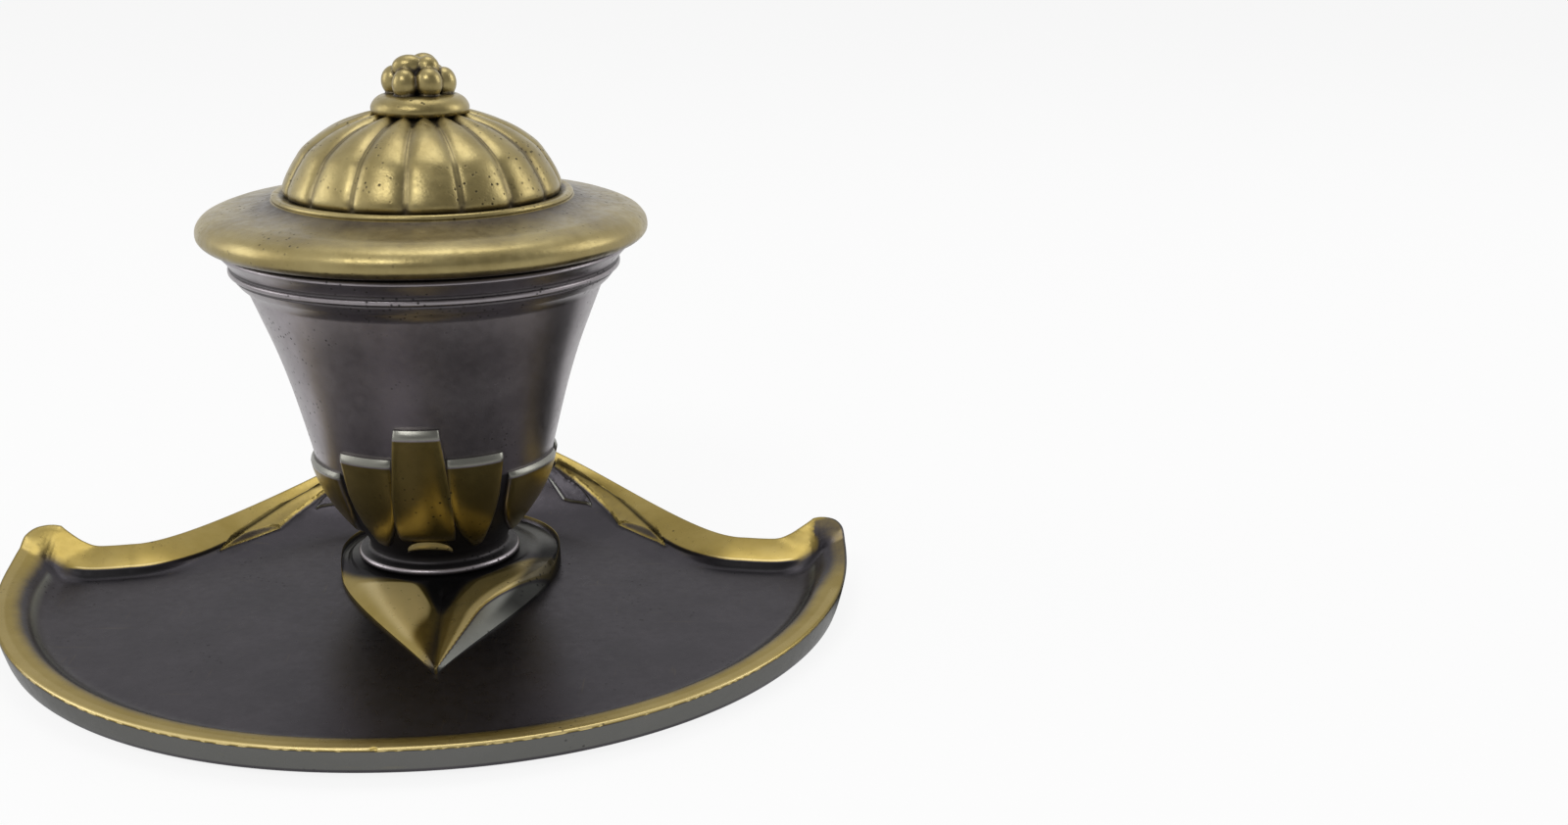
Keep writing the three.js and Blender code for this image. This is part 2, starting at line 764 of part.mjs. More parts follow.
// Glass well with its flange, its flat foot and a rounded hollow
function wellGeometry() {
  const bottom = wellBottom;
  const top = wellSeat + wellFlange;
  const round = wellFlange * 0.3;
  const bore = wellRadius - wellWall;
  const footBore = wellFootRadius - wellWall;
  return turned([
    [0, bottom],
    [wellFootRadius - wellWall / 2, bottom],
    [wellFootRadius, bottom + wellWall / 2],
    [wellRadius, wellSeat - wellWall],
    [wellRadius, wellSeat],
    [wellFlangeRadius, wellSeat],
    [wellFlangeRadius, top - round],
    [wellFlangeRadius - round, top],
    [bore + round, top],
    [bore, top - round],
    [footBore, bottom + wellWall * 3],
    [footBore * 0.85, bottom + wellWall * 1.6],
    [footBore * 0.5, bottom + wellWall * 1.05],
    [0, bottom + wellWall],
  ], smallSteps * 1.6);
}

// A ring of the lid, drawn in at the grooves between the ribs
function lidRing(radius, height, ribShare = 0) {
  const steps = ribCount * ribLobeShares.length;
  return Array.from({ length: steps }, (unused, k) => {
    const angle = (k / steps) * Math.PI * 2;
    const out = radius - ribDepth * ribShare * ribLobeShares[k % ribLobeShares.length];
    return new THREE.Vector3(out * Math.sin(angle), -out * Math.cos(angle), height);
  });
}

// Lid: hollow ribbed dome on a fat rolled brim, with a spigot that drops into the urn's mouth
function lidGeometry() {
  const inner = (share) => domeBase + (domeHeight - domeWall) * share;
  const domeInner = domeRadius - domeWall;
  const spigotInner = spigotRadius - spigotWall;
  const section = [
    ...innerDomeShares.map(([out, up]) => lidRing(domeInner * out, inner(up))),
    lidRing((domeInner + spigotInner) / 2, (lidBase + domeBase) / 2),
    lidRing(spigotInner, lidBase),
    lidRing(spigotInner, lidBase - spigotDepth),
    lidRing(spigotRadius, lidBase - spigotDepth),
    lidRing(spigotRadius, lidBase),
    ...brimShares.map(([out, up]) => lidRing(
      brimRadius - brimThickness * out,
      lidBase + brimThickness * up,
    )),
    lidRing(beadRadius + beadStep, domeBase - beadStep),
    lidRing(beadRadius, domeBase),
    lidRing(beadRadius - beadStep, domeBase + beadStep / 2),
    ...domeShares.map(([out, up, rib]) => lidRing(domeRadius * out, domeBase + domeHeight * up, rib)),
    lidRing(domeTopRadius, domeTop),
  ];
  const halfWidth = hingeWidth / 2 + knuckleGap;
  const leafFront = padY - knuckleGap - lidLeafDepth - clearance;
  return geometryOf(cut(solid(loft(section)), [
    solid(post(studRadius + clearance, domeBase, domeTop + overrun)),
    solid(axle(barrelRadius + knuckleGap * 2, -halfWidth, halfWidth)),
    solid(block(-halfWidth, halfWidth, leafFront, brimRadius + overrun, lidBase - overrun, lidBase + leafThickness)),
    ...screwHoles(ontoLidLeaf),
  ]));
}

// Countersunk screw, its head's face at the origin and its shank up along Z
function hingeScrewGeometry() {
  return turned([
    [0, 0],
    [hingeScrewHeadRadius, 0],
    [hingeScrewRadius, hingeScrewHead],
    [hingeScrewRadius, hingeScrewLength],
    [0, hingeScrewLength],
  ], smallSteps);
}

// Countersinks in a leaf for its two screws
function countersinks(toPlace) {
  const sink = turned([
    [0, -clearance],
    [hingeScrewHeadRadius + clearance, -clearance],
    [hingeScrewRadius + clearance, hingeScrewHead],
    [hingeScrewRadius + clearance, leafThickness + overrun],
    [0, leafThickness + overrun],
  ], smallSteps);
  return [-hingeScrewX, hingeScrewX].map((x) => solid(toPlace(sink.clone()).translate(x, 0, 0)));
}

function urnLeafGeometry() {
  const half = hingeWidth / 2;
  const open = lidKnuckleWidth / 2 + knuckleGap;
  const plate = solid(block(-half, half, padY, padY + leafThickness, urnTop - urnLeafHeight, hingeZ));
  return geometryOf(cut(joined([
    plate,
    solid(axle(barrelRadius, -half, -open)),
    solid(axle(barrelRadius, open, half)),
  ]), [
    solid(axle(barrelRadius + knuckleGap, -open, open)),
    solid(axle(pinRadius + threadClearance, -half - overrun, half + overrun)),
    ...countersinks(ontoUrnLeaf),
  ]));
}

function lidLeafGeometry() {
  const half = hingeWidth / 2;
  const knuckle = lidKnuckleWidth / 2;
  const back = padY - knuckleGap;
  const top = lidBase + leafThickness;
  return geometryOf(cut(joined([
    solid(block(-half, half, back - lidLeafDepth, back, lidBase, top)),
    solid(block(-knuckle, knuckle, back - lidLeafDepth / 2, hingeY, lidBase, top)),
    solid(axle(barrelRadius, -knuckle, knuckle)),
  ]), [
    solid(axle(pinRadius + threadClearance, -knuckle - overrun, knuckle + overrun)),
    ...countersinks(ontoLidLeaf),
  ]));
}

function pinGeometry() {
  return axle(pinRadius, -hingeWidth / 2 - pinOverhang, hingeWidth / 2 + pinOverhang);
}

// Slotted screw from under the tray, its head's face at the origin and its shank up along Z
function urnScrewGeometry() {
  const body = solid(turned([
    [0, 0],
    [urnScrewHeadRadius - slotDepth / 2, 0],
    [urnScrewHeadRadius, slotDepth / 2],
    [urnScrewHeadRadius, urnScrewHead],
    [urnScrewRadius, urnScrewHead],
    [urnScrewRadius, urnScrewHead + urnScrewLength],
    [0, urnScrewHead + urnScrewLength],
  ], smallSteps));
  const across = urnScrewHeadRadius + overrun;
  const slot = solid(block(-across, across, -slotWidth / 2, slotWidth / 2, -overrun, slotDepth));
  return geometryOf(body.subtract(slot));
}

function washerGeometry(bore, radius, thickness) {
  return turnedRing([[bore, 0], [radius, 0], [radius, thickness], [bore, thickness]], smallSteps);
}

function nutGeometry() {
  const hexagon = solid(post(finialNutRadius, 0, finialNutThickness, 6));
  return geometryOf(hexagon.subtract(solid(
    post(studRadius + threadClearance, -overrun, finialNutThickness + overrun),
  )));
}

// Finial: a collar and a core with two rings of berries, its flat seat at the origin
function finialGeometry() {
  const coreTop = finialHeight - upperBerryRadius;
  const core = solid(turned([
    [0, 0],
    [collarRadius - collarThickness / 2, 0],
    [collarRadius - collarThickness / 12, collarThickness / 4],
    [collarRadius, collarThickness / 2],
    [collarRadius - collarThickness / 6, collarThickness * 0.8],
    [collarRadius - collarThickness / 2, collarThickness],
    [coreRadius + beadStep, collarThickness * 1.1],
    [coreRadius, collarThickness * 1.4],
    [coreRadius, coreTop * 0.75],
    [coreRadius / 2, coreTop],
    [0, coreTop],
  ], smallSteps * 1.6));
  const berries = (count, radius, out, height, shift) => Array.from({ length: count }, (unused, k) => {
    const angle = ((k + shift) / count) * Math.PI * 2;
    const berry = new THREE.IcosahedronGeometry(radius, 1);
    return solid(berry.translate(out * Math.sin(angle), -out * Math.cos(angle), height));
  });
  const lower = berries(lowerBerryCount, lowerBerryRadius, coreRadius, collarThickness * 1.75, 0.5);
  const upperOut = upperBerryRadius * 1.15;
  const upper = berries(upperBerryCount, upperBerryRadius, upperOut, finialHeight - upperBerryRadius, 0.5);
  const bore = solid(post(studRadius + threadClearance, -overrun, studIntoFinial + clearance));
  return geometryOf(cut(joined([core, ...lower, ...upper]), [bore]));
}

function studGeometry(below) {
  return post(studRadius, -below, studIntoFinial);
}

// A named mesh with its own finish, at its place
function piece(name, geometry, look, place = [0, 0, 0], turn = [0, 0, 0]) {
  const mesh = new THREE.Mesh(welded(geometry), new THREE.MeshStandardMaterial(finish[look]));
  mesh.name = name;
  mesh.position.set(...place);
  mesh.rotation.set(...turn);
  return mesh;
}

function trayGroup() {
  const stations = trayStations();
  const washerPlace = seatHeight - trayWall - urnWasherThickness;
  return new THREE.Group().add(
    piece('base_felt', feltGeometry(stations), 'felt'),
    piece('pen_tray', trayGeometry(stations), 'casting'),
    piece('urn_screw', urnScrewGeometry(), 'steel', [0, 0, washerPlace - urnScrewHead]),
    piece(
      'urn_screw_washer',
      washerGeometry(urnScrewRadius + clearance, urnWasherRadius, urnWasherThickness),
      'steel',
      [0, 0, washerPlace],
    ),
  );
}

function urnGroup() {
  const screwTurn = [Math.PI / 2, 0, 0];
  return new THREE.Group().add(
    piece('urn', urnGeometry(), 'casting'),
    piece('well_deck', deckGeometry(), 'brass'),
    piece('ink_well', wellGeometry(), 'glass'),
    piece('urn_hinge_leaf', urnLeafGeometry(), 'brass'),
    piece('hinge_pin', pinGeometry(), 'steel'),
    ...[-1, 1].map((side) => piece(
      side < 0 ? 'urn_leaf_screw_left' : 'urn_leaf_screw_right',
      hingeScrewGeometry(),
      'steel',
      [side * hingeScrewX, padY + leafThickness, urnLeafScrewZ],
      screwTurn,
    )),
  );
}

function lidGroup() {
  const ceiling = domeTop - domeWall;
  const nutPlace = ceiling - finialWasherThickness - finialNutThickness;
  return new THREE.Group().add(
    piece('lid', lidGeometry(), 'lidBronze'),
    piece('lid_hinge_leaf', lidLeafGeometry(), 'brass'),
    ...[-1, 1].map((side) => piece(
      side < 0 ? 'lid_leaf_screw_left' : 'lid_leaf_screw_right',
      hingeScrewGeometry(),
      'steel',
      [side * hingeScrewX, lidLeafScrewY, lidBase],
    )),
    piece('finial', finialGeometry(), 'lidBronze', [0, 0, domeTop]),
    piece('finial_stud', studGeometry(domeTop - nutPlace + studBelowNut), 'steel', [0, 0, domeTop]),
    piece(
      'finial_washer',
      washerGeometry(studRadius + clearance, finialWasherRadius, finialWasherThickness),
      'steel',
      [0, 0, ceiling - finialWasherThickness],
    ),
    piece('finial_nut', nutGeometry(), 'brass', [0, 0, nutPlace]),
  );
}

export default new THREE.Group().add(trayGroup(), urnGroup(), lidGroup());
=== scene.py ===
# Desk inkstand: dressed pieces for the pen tray, urn, lid, finial, felt, well and deck, with studio light.
# Sizes in this script are in millimetres and become metres when a mesh is made.
import bmesh
import bpy
import math
import numpy as np
from mathutils import Matrix, Vector, geometry


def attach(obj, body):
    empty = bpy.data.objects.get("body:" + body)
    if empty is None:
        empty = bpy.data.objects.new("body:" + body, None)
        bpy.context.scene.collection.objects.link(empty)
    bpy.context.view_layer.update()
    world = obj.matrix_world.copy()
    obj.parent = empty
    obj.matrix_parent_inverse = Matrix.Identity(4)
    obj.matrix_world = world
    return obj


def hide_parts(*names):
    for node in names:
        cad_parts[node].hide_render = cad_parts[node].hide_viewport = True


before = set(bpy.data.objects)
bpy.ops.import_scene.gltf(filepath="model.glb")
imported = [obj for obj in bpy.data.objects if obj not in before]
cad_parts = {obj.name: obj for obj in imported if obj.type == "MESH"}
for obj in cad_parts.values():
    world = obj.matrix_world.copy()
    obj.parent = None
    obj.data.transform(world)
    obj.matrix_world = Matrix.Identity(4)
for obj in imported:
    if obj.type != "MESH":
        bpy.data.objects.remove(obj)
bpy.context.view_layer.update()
MM = 0.001
SHARP = 38  # degrees between two faces from which their edge stays sharp


# ---- helpers
def smooth(x, low, high):
    """0 before low, 1 past high and eased between them; low may be the larger one."""
    t = np.clip((np.asarray(x, float) - low) / (high - low), 0, 1)
    return t * t * (3 - 2 * t)


def hill(x, centre, width):
    """A bell curve of height 1."""
    return np.exp(-((x - centre) / width)**2)


def placed(name, data):
    """A new object with this data, linked to the scene."""
    obj = bpy.data.objects.new(name, data)
    bpy.context.scene.collection.objects.link(obj)
    return obj


def paint(mesh, gold, recess):
    """The two painted values, kept at the mesh's points."""
    for key, values in (("gold", gold), ("recess", recess)):
        layer = mesh.attributes.get(key) or mesh.attributes.new(key, "FLOAT", "POINT")
        layer.data.foreach_set("value", values.astype(np.float32))


def curve_through(keys, values, at):
    """Smooth curve through keys, read at the places in at."""
    keys, values = np.asarray(keys, float), np.asarray(values, float)
    slope = np.gradient(values, keys)
    at = np.clip(np.asarray(at, float), keys[0], keys[-1])
    i = np.clip(np.searchsorted(keys, at, side="right") - 1, 0, len(keys) - 2)
    h = keys[i + 1] - keys[i]
    t = (at - keys[i]) / h
    return ((2 * t**3 - 3 * t**2 + 1) * values[i] + (t**3 - 2 * t**2 + t) * h * slope[i]
            + (3 * t**2 - 2 * t**3) * values[i + 1] + (t**3 - t**2) * h * slope[i + 1])


def even(points, count):
    """The same line with evenly spaced points."""
    points = np.asarray(points, float)
    steps = np.hypot(*(points[1:] - points[:-1]).T)
    along = np.concatenate([[0], np.cumsum(steps)])
    want = np.linspace(0, along[-1], count)
    return np.stack([np.interp(want, along, points[:, k]) for k in range(points.shape[1])], 1)


def bezier(a, b, c, d, count):
    """Evenly spaced points along a cubic curve."""
    t = np.linspace(0, 1, 1500)[:, None]
    a, b, c, d = (np.asarray(p, float) for p in (a, b, c, d))
    line = (1 - t)**3 * a + 3 * (1 - t)**2 * t * b + 3 * (1 - t) * t**2 * c + t**3 * d
    return even(line, count)


class Body:
    """Vertices, faces and two painted values (gold and recess) of one piece; gold holds painted highlights above 1 and
    painted reflections below 0, recess holds black in the hollows and painted shade.
    """

    def __init__(self):
        self.places, self.faces, self.gold, self.recess, self.count = [], [], [], [], 0

    def add(self, places, faces, gold=0.0, recess=0.0):
        places = np.asarray(places, float).reshape(-1, 3)
        self.places.append(places)
        self.faces += [tuple(int(i) + self.count for i in face) for face in faces]
        for kept, values in ((self.gold, gold), (self.recess, recess)):
            kept.append(np.broadcast_to(np.asarray(values, float), (len(places),)))
        self.count += len(places)

    def loft(self, rings, gold=0.0, recess=0.0, caps=True):
        """Rings of equal length, joined row by row; closed on the middle of each end."""
        rings = np.asarray(rings, float)
        rows, cols = rings.shape[:2]
        places, faces = list(rings.reshape(-1, 3)), []
        for r in range(rows - 1):
            for k in range(cols):
                a, b = r * cols + k, r * cols + (k + 1) % cols
                faces.append((a, b, b + cols, a + cols))
        gold, recess = (np.broadcast_to(values, (rows, cols)) for values in (gold, recess))
        g, s = list(gold.reshape(-1)), list(recess.reshape(-1))
        for row in (0, rows - 1) if caps else ():
            places.append(rings[row].mean(0))
            g.append(gold[row].mean())
            s.append(recess[row].mean())
            for k in range(cols):
                a, b = row * cols + k, row * cols + (k + 1) % cols
                faces.append((len(places) - 1, b, a) if row == 0 else (len(places) - 1, a, b))
        self.add(places, faces, g, s)

    def make(self, name, sharp=SHARP):
        mesh = bpy.data.meshes.new(name)
        mesh.from_pydata((np.concatenate(self.places) * MM).tolist(), [], self.faces)
        paint(mesh, np.concatenate(self.gold), np.concatenate(self.recess))
        obj = placed(name, mesh)
        finish_normals(obj, sharp)
        return obj


def finish_normals(obj, sharp, weld=0.0):
    """Smooth faces with edges kept sharp past an angle; with weld, points closer than that become one."""
    work = bmesh.new()
    work.from_mesh(obj.data)
    if weld:
        bmesh.ops.remove_doubles(work, verts=work.verts, dist=weld)
    bmesh.ops.recalc_face_normals(work, faces=work.faces)
    for face in work.faces:
        face.smooth = True
    for edge in work.edges:
        if len(edge.link_faces) == 2:
            edge.smooth = edge.calc_face_angle(0) < math.radians(sharp)
    work.to_mesh(obj.data)
    work.free()


def applied(obj):
    """Makes the object's modifiers into its mesh."""
    graph = bpy.context.evaluated_depsgraph_get()
    mesh = bpy.data.meshes.new_from_object(obj.evaluated_get(graph))
    obj.modifiers.clear()
    old, obj.data = obj.data, mesh
    bpy.data.meshes.remove(old)


def angles(count):
    return np.arange(count) * 2 * math.pi / count


def turned(profile, count):
    """Rings about Z from [radius, height] pairs, first angle at the front."""
    turn = angles(count)
    return np.array([[(r * math.sin(t), -r * math.cos(t), z) for t in turn] for r, z in profile])


def rounded(profile, steps, size):
    """A [radius, height] line with its inner corners rounded."""
    points = [np.array(p, float) for p in profile]
    out = [points[0]]
    for before, here, after in zip(points, points[1:], points[2:]):
        far = [np.linalg.norm(p - here) for p in (before, after)]
        cut = min(size, 0.45 * far[0], 0.45 * far[1])
        a, b = (here + (p - here) / max(d, 1e-9) * cut for p, d in zip((before, after), far))
        out += [(1 - t)**2 * a + 2 * t * (1 - t) * here + t * t * b for t in np.linspace(0, 1, steps)]
    return out + [points[-1]]


# ---- materials
class Look:
    """The node tree of a material or world. A value is a number, a colour or another node's output."""

    def __init__(self, holder, coordinates="Object"):
        holder.use_nodes = True
        self.holder, self.tree = holder, holder.node_tree
        self.tree.nodes.clear()
        self.place = self.add("TexCoord").outputs[coordinates]

    def put(self, socket, value):
        if isinstance(value, bpy.types.NodeSocket):
            self.tree.links.new(value, socket)
        else:
            socket.default_value = value

    def add(self, kind, *values, how=None, **named):
        """A new node with its operation and its inputs, given in order or by name."""
        made = self.tree.nodes.new("ShaderNode" + kind)
        if how:
            made.operation = how
        for slot, value in enumerate(values):
            self.put(made.inputs[slot], value)
        for key, value in named.items():
            self.put(made.inputs[key.replace("_", " ")], value)
        return made

    def maths(self, how, *values, clamp=False):
        made = self.add("Math", *values, how=how)
        made.use_clamp = clamp
        return made.outputs[0]

    def mul(self, a, b, clamp=False):
        return self.maths("MULTIPLY", a, b, clamp=clamp)

    def fma(self, a, b, c, clamp=False):
        """a times b plus c."""
        return self.maths("MULTIPLY_ADD", a, b, c, clamp=clamp)

    def between(self, value, low, high, to_low=0.0, to_high=1.0):
        made = self.add("MapRange", Value=value, From_Min=low, From_Max=high, To_Min=to_low, To_Max=to_high)
        made.interpolation_type = "SMOOTHSTEP"
        return made.outputs["Result"]

    def mixed(self, share, a, b):
        made = self.add("Mix", share)
        made.data_type = "RGBA"
        for slot, value in ((6, a), (7, b)):
            self.put(made.inputs[slot], (*value, 1) if isinstance(value, tuple) else value)
        return made.outputs[2]

    def noise(self, scale, detail=4.0, rough=0.55, stretch=None, turn=(0, 0, 0)):
        where = self.place
        if stretch:
            where = self.add("Mapping", Vector=where, Scale=stretch, Rotation=turn).outputs[0]
        return self.add("TexNoise", Vector=where, Scale=scale, Detail=detail, Roughness=rough).outputs["Fac"]

    def painted(self, name):
        made = self.add("Attribute")
        made.attribute_name = name
        return made.outputs["Fac"]

    def surface(self, colour, rough, height, strength, distance, **named):
        """The finished material, with the height as a bump."""
        bump = self.add("Bump", Strength=strength, Distance=distance, Height=height)
        shader = self.add("BsdfPrincipled", Base_Color=colour, Roughness=rough, Normal=bump.outputs[0], **named)
        self.add("OutputMaterial", shader.outputs[0])
        return self.holder


def casting(name, dark, darker, gold, bright, silver=(0.22, 0.225, 0.20), pit_share=0.6,
            roughness=(0.3, 0.44), relief=0.5, edge=1.0):
    """Old lacquered bronze: dark patina, gold where it is rubbed, black in the recesses and as painted shade, pits and
    scratches.

    The painted gold runs from 0 to 1; above 1 it is brighter as a painted highlight and below 0 silvery as a painted
    reflection."""
    k = Look(bpy.data.materials.new(name))
    rub_and_painted_light, deep = k.painted("gold"), k.painted("recess")
    broad, grain, speckle = k.noise(95, 5, 0.6), k.noise(620, 6, 0.62), k.noise(2600, 3, 0.5)
    wear_and_highlight = k.fma(k.maths("SUBTRACT", broad, 0.5), 0.35, rub_and_painted_light)
    wear_and_highlight = k.fma(k.maths("SUBTRACT", grain, 0.5), 0.22, wear_and_highlight)
    tone = k.mixed(k.between(broad, 0.35, 0.66), darker, dark)
    tone = k.mixed(k.mul(k.between(grain, 0.45, 0.75), 0.35), tone, darker)
    # Painted reflection: painted gold below 0 turns the colour silvery
    tone = k.mixed(k.between(k.mul(rub_and_painted_light, -1.0), 0.1, 1.0), tone, silver)
    shine = k.mixed(k.between(broad, 0.3, 0.75, 0.0, 0.55), gold, bright)
    # Painted highlight: painted gold above 1 turns a paler, brighter gold
    shine = k.mixed(k.between(rub_and_painted_light, 1.0, 1.35), shine, tuple(min(1.0, 1.6 * c + 0.05) for c in bright))
    colour = k.mixed(k.between(wear_and_highlight, 0.12, 0.9), tone, shine)
    # Pits in clusters and dark specks
    cells = k.add("TexVoronoi", Vector=k.place, Scale=820.0).outputs["Distance"]
    cluster = k.between(k.noise(70, 3, 0.6), 0.60 - 0.1 * pit_share, 0.78 - 0.09 * pit_share)
    pits = k.mul(k.between(cells, 0.10, 0.26, 1.0, 0.0), cluster, clamp=True)
    specks = k.mul(k.between(speckle, 0.70, 0.78), k.between(k.noise(45, 2), 0.42, 0.62))
    marks = k.maths("MAXIMUM", pits, k.mul(specks, 0.55))
    colour = k.mixed(k.mul(marks, 0.85), colour, (0.012, 0.010, 0.009))
    # Hair scratches
    hair = k.between(k.noise(60, 2, 0.5, (1.0, 26.0, 26.0), (0.2, 0.4, 0.7)), 0.69, 0.76)
    hair2 = k.between(k.noise(60, 2, 0.5, (26.0, 1.2, 26.0), (0.5, 0.1, -0.4)), 0.70, 0.77)
    lines = k.maths("MAXIMUM", hair, hair2)
    colour = k.mixed(k.mul(lines, 0.06), colour, bright)
    # Black where the recess value is high: patina in the hollows, and painted shade under and between parts
    colour = k.mixed(k.mul(deep, 0.93, clamp=True), colour, (0.006, 0.006, 0.006))
    rough = k.fma(marks, 0.25, k.between(grain, 0.3, 0.75, *roughness))
    rough = k.fma(deep, 0.18, rough, clamp=True)
    height = k.fma(marks, -0.8, k.mul(speckle, 0.35))
    height = k.fma(lines, -0.15, k.fma(grain, 0.55, height))
    return k.surface(colour, rough, height, relief, 0.00012, Metallic=k.between(rub_and_painted_light, 1.02, 1.22, 0.92, 0.45),
                     Specular_Tint=(edge, edge, edge, 1))


def metal(name, colour, worn, roughness, grain):
    """Bare metal with worn spots and fine lines along its grain."""
    k = Look(bpy.data.materials.new(name))
    spots, lines = k.noise(420, 5, 0.6), k.noise(900, 3, 0.55, grain)
    tone = k.mixed(k.between(spots, 0.4, 0.68), colour, worn)
    tone = k.mixed(k.between(lines, 0.55, 0.75, 0.0, 0.3), tone, tuple(c * 0.45 for c in colour))
    height = k.maths("ADD", lines, k.mul(spots, 0.5))
    return k.surface(tone, k.between(lines, 0.3, 0.8, *roughness), height, 0.35, 0.00005, Metallic=1.0)


def glass(name):
    """Old glass with swirls and a film."""
    k = Look(bpy.data.materials.new(name))
    swirl, film = k.noise(160, 3, 0.5), k.noise(900, 5, 0.6)
    tone = k.mixed(k.between(film, 0.45, 0.8), (0.86, 0.93, 0.90), (0.62, 0.72, 0.70))
    return k.surface(tone, k.between(film, 0.4, 0.85, 0.03, 0.2), swirl, 0.15, 0.0002,
                     IOR=1.5, Transmission_Weight=0.92)


def felt(name):
    """Green felt: nap in two directions and faded patches."""
    k = Look(bpy.data.materials.new(name))
    nap = k.maths("ADD", k.noise(1900, 6, 0.7, (1.0, 3.5, 1.0), (0, 0, 0.6)),
                  k.noise(1700, 6, 0.7, (3.5, 1.0, 1.0), (0, 0, 0.3)))
    tone = k.mixed(k.between(nap, 0.8, 1.2), (0.02, 0.07, 0.035), (0.07, 0.19, 0.10))
    tone = k.mixed(k.between(k.noise(60, 4, 0.6), 0.4, 0.7, 0.0, 0.45), tone, (0.10, 0.20, 0.12))
    return k.surface(tone, k.between(nap, 0.7, 1.3, 0.88, 1.0), nap, 0.6, 0.0003,
                     Sheen_Weight=0.35, Sheen_Roughness=0.5)


DARK = casting("dark_casting_finish", (0.058, 0.053, 0.060), (0.049, 0.045, 0.051),
               (0.255, 0.188, 0.050), (0.36, 0.28, 0.105), roughness=(0.27, 0.35), relief=0.14, edge=0.62)
# The urn's patina is painted lighter than the tray's, standing in for the light the urn catches
URN_LIT_PATINA = casting("urn_lit_patina", (0.287, 0.263, 0.277), (0.231, 0.210, 0.221),
                   (0.235, 0.176, 0.052), (0.32, 0.25, 0.09), (0.16, 0.165, 0.13),
                   pit_share=1.5, roughness=(0.29, 0.35), relief=0.08)
BRONZE = casting("bronze_casting_finish", (0.115, 0.095, 0.074), (0.070, 0.056, 0.050),
                 (0.240, 0.190, 0.078), (0.41, 0.34, 0.160), pit_share=1.5, roughness=(0.28, 0.42))
BRASS = metal("brass_finish", (0.40, 0.29, 0.11), (0.22, 0.16, 0.07), (0.28, 0.45), (1.0, 6.0, 6.0))
STEEL = metal("steel_finish", (0.36, 0.35, 0.33), (0.20, 0.18, 0.16), (0.28, 0.5), (6.0, 1.0, 6.0))
GLASS = glass("well_glass")
FELT = felt("green_felt")

# ---- tray
HALF_WIDTH, SIDE_Y, FRONT_DEPTH, FRONT_POWER = 76.8, -4.0, 78.6, 2.06
HORN_X, HORN_Y, HORN_R = 74.9, 3.6, 3.6
BAY_X, BAY_Y, BACK_REACH, WAIST_X, WAIST_Y, POLE_Y = 64.0, 0.5, 43.0, 58.0, 1.9, -15.0
BASE_Z, FLOOR_Z, WALL = 1.2, 3.6, 2.4
RIM_FRONT, RIM_SIDE, HORN_Z, DIP_Z, CREST_Z = 6.0, 7.6, 10.4, 7.6, 17.5
FRONT_BAND, EDGE_SWEEP, CREST_SWEEP = 5.0, 3.4, 25.0
TAPER, FOOT = 1.4, 3.4
BAND_BAY, BAND_CREST, BAND_DROP = 6.3, 2.3, 2.5


def tray_outline():
    """The right half of the outline, from the middle of the front round to the middle of the back."""
    turn = np.linspace(0, math.pi / 2, 3000)
    front = np.stack([HALF_WIDTH * np.sin(turn)**(2 / FRONT_POWER),
                      SIDE_Y - FRONT_DEPTH * np.cos(turn)**(2 / FRONT_POWER)], 1)
    front = even(front, 170)
    side = bezier((HALF_WIDTH, SIDE_Y), (HALF_WIDTH, SIDE_Y / 2), (HORN_X + HORN_R / 2, HORN_Y),
                  (HORN_X - HORN_R, HORN_Y), 40)
    bay = bezier((HORN_X - HORN_R, HORN_Y), (BAY_X + HORN_R, BAY_Y), (BAY_X, BAY_Y), (WAIST_X, WAIST_Y), 44)
    back = bezier((WAIST_X, WAIST_Y), (WAIST_X * 0.81, WAIST_Y * 1.3), (WAIST_X * 0.6, BACK_REACH),
                  (0, BACK_REACH), 190)
    line = np.concatenate([front[:-1], side[:-1], bay[:-1], back])
    line[0, 0] = 0
    return line


LINE = tray_outline()
HORN_AT = int(np.argmax(LINE[:, 0] + LINE[:, 1] * 1.6 - 1e6 * (LINE[:, 0] < 60)))


def calm(values, times):
    """Values along the half outline, smoothed; both ends count as mirrored."""
    for _ in range(times):
        wide = np.concatenate([values[2:0:-1], values, values[-2:-4:-1]])
        values = (wide[:-4] + 2 * wide[1:-3] + 3 * wide[2:-2] + 2 * wide[3:-1] + wide[4:]) / 9
    return values


def stations():
    """Rim height, floor sweep and inward direction at each point of the half outline."""
    x, y = LINE[:, 0], LINE[:, 1]
    before = np.concatenate([[[-LINE[1, 0], LINE[1, 1]]], LINE[:-1]])
    after = np.concatenate([LINE[1:], [[-LINE[-2, 0], LINE[-2, 1]]]])
    along = after - before
    along /= np.linalg.norm(along, axis=1)[:, None]
    inward = np.stack([-along[:, 1], along[:, 0]], 1)
    front = RIM_FRONT + (RIM_SIDE - RIM_FRONT) * (x / HALF_WIDTH)**4
    side = RIM_SIDE + (HORN_Z - RIM_SIDE) * (0.35 * smooth(y, -26, 0) + 0.65 * smooth(y, -11, HORN_Y))
    corner = np.where(x > HORN_X - HORN_R / 2, side, DIP_Z + (side - DIP_Z) * smooth(x, BAY_X, HORN_X))
    share = np.clip(1 - (x / WAIST_X)**2, 0, 1)
    back = DIP_Z + (CREST_Z - DIP_Z) * share**3.75
    rim = np.where(y < SIDE_Y, np.maximum(front, side + front - RIM_SIDE), np.where(x > WAIST_X, corner, back))
    on_back = (y > 0) & (x <= WAIST_X)
    sweep = np.where(on_back, EDGE_SWEEP + (CREST_SWEEP - EDGE_SWEEP) * share**1.3, EDGE_SWEEP)
    band = np.where(on_back, BAND_CREST + (BAND_BAY - BAND_CREST) * smooth(x, 31, 51), BAND_BAY)
    tilt = 2.1 * smooth(y, -26, -1)
    return inward, calm(rim, 6), calm(sweep, 3), calm(band, 3), tilt


INWARD, RIM, SWEEP, BAND, TILT = stations()


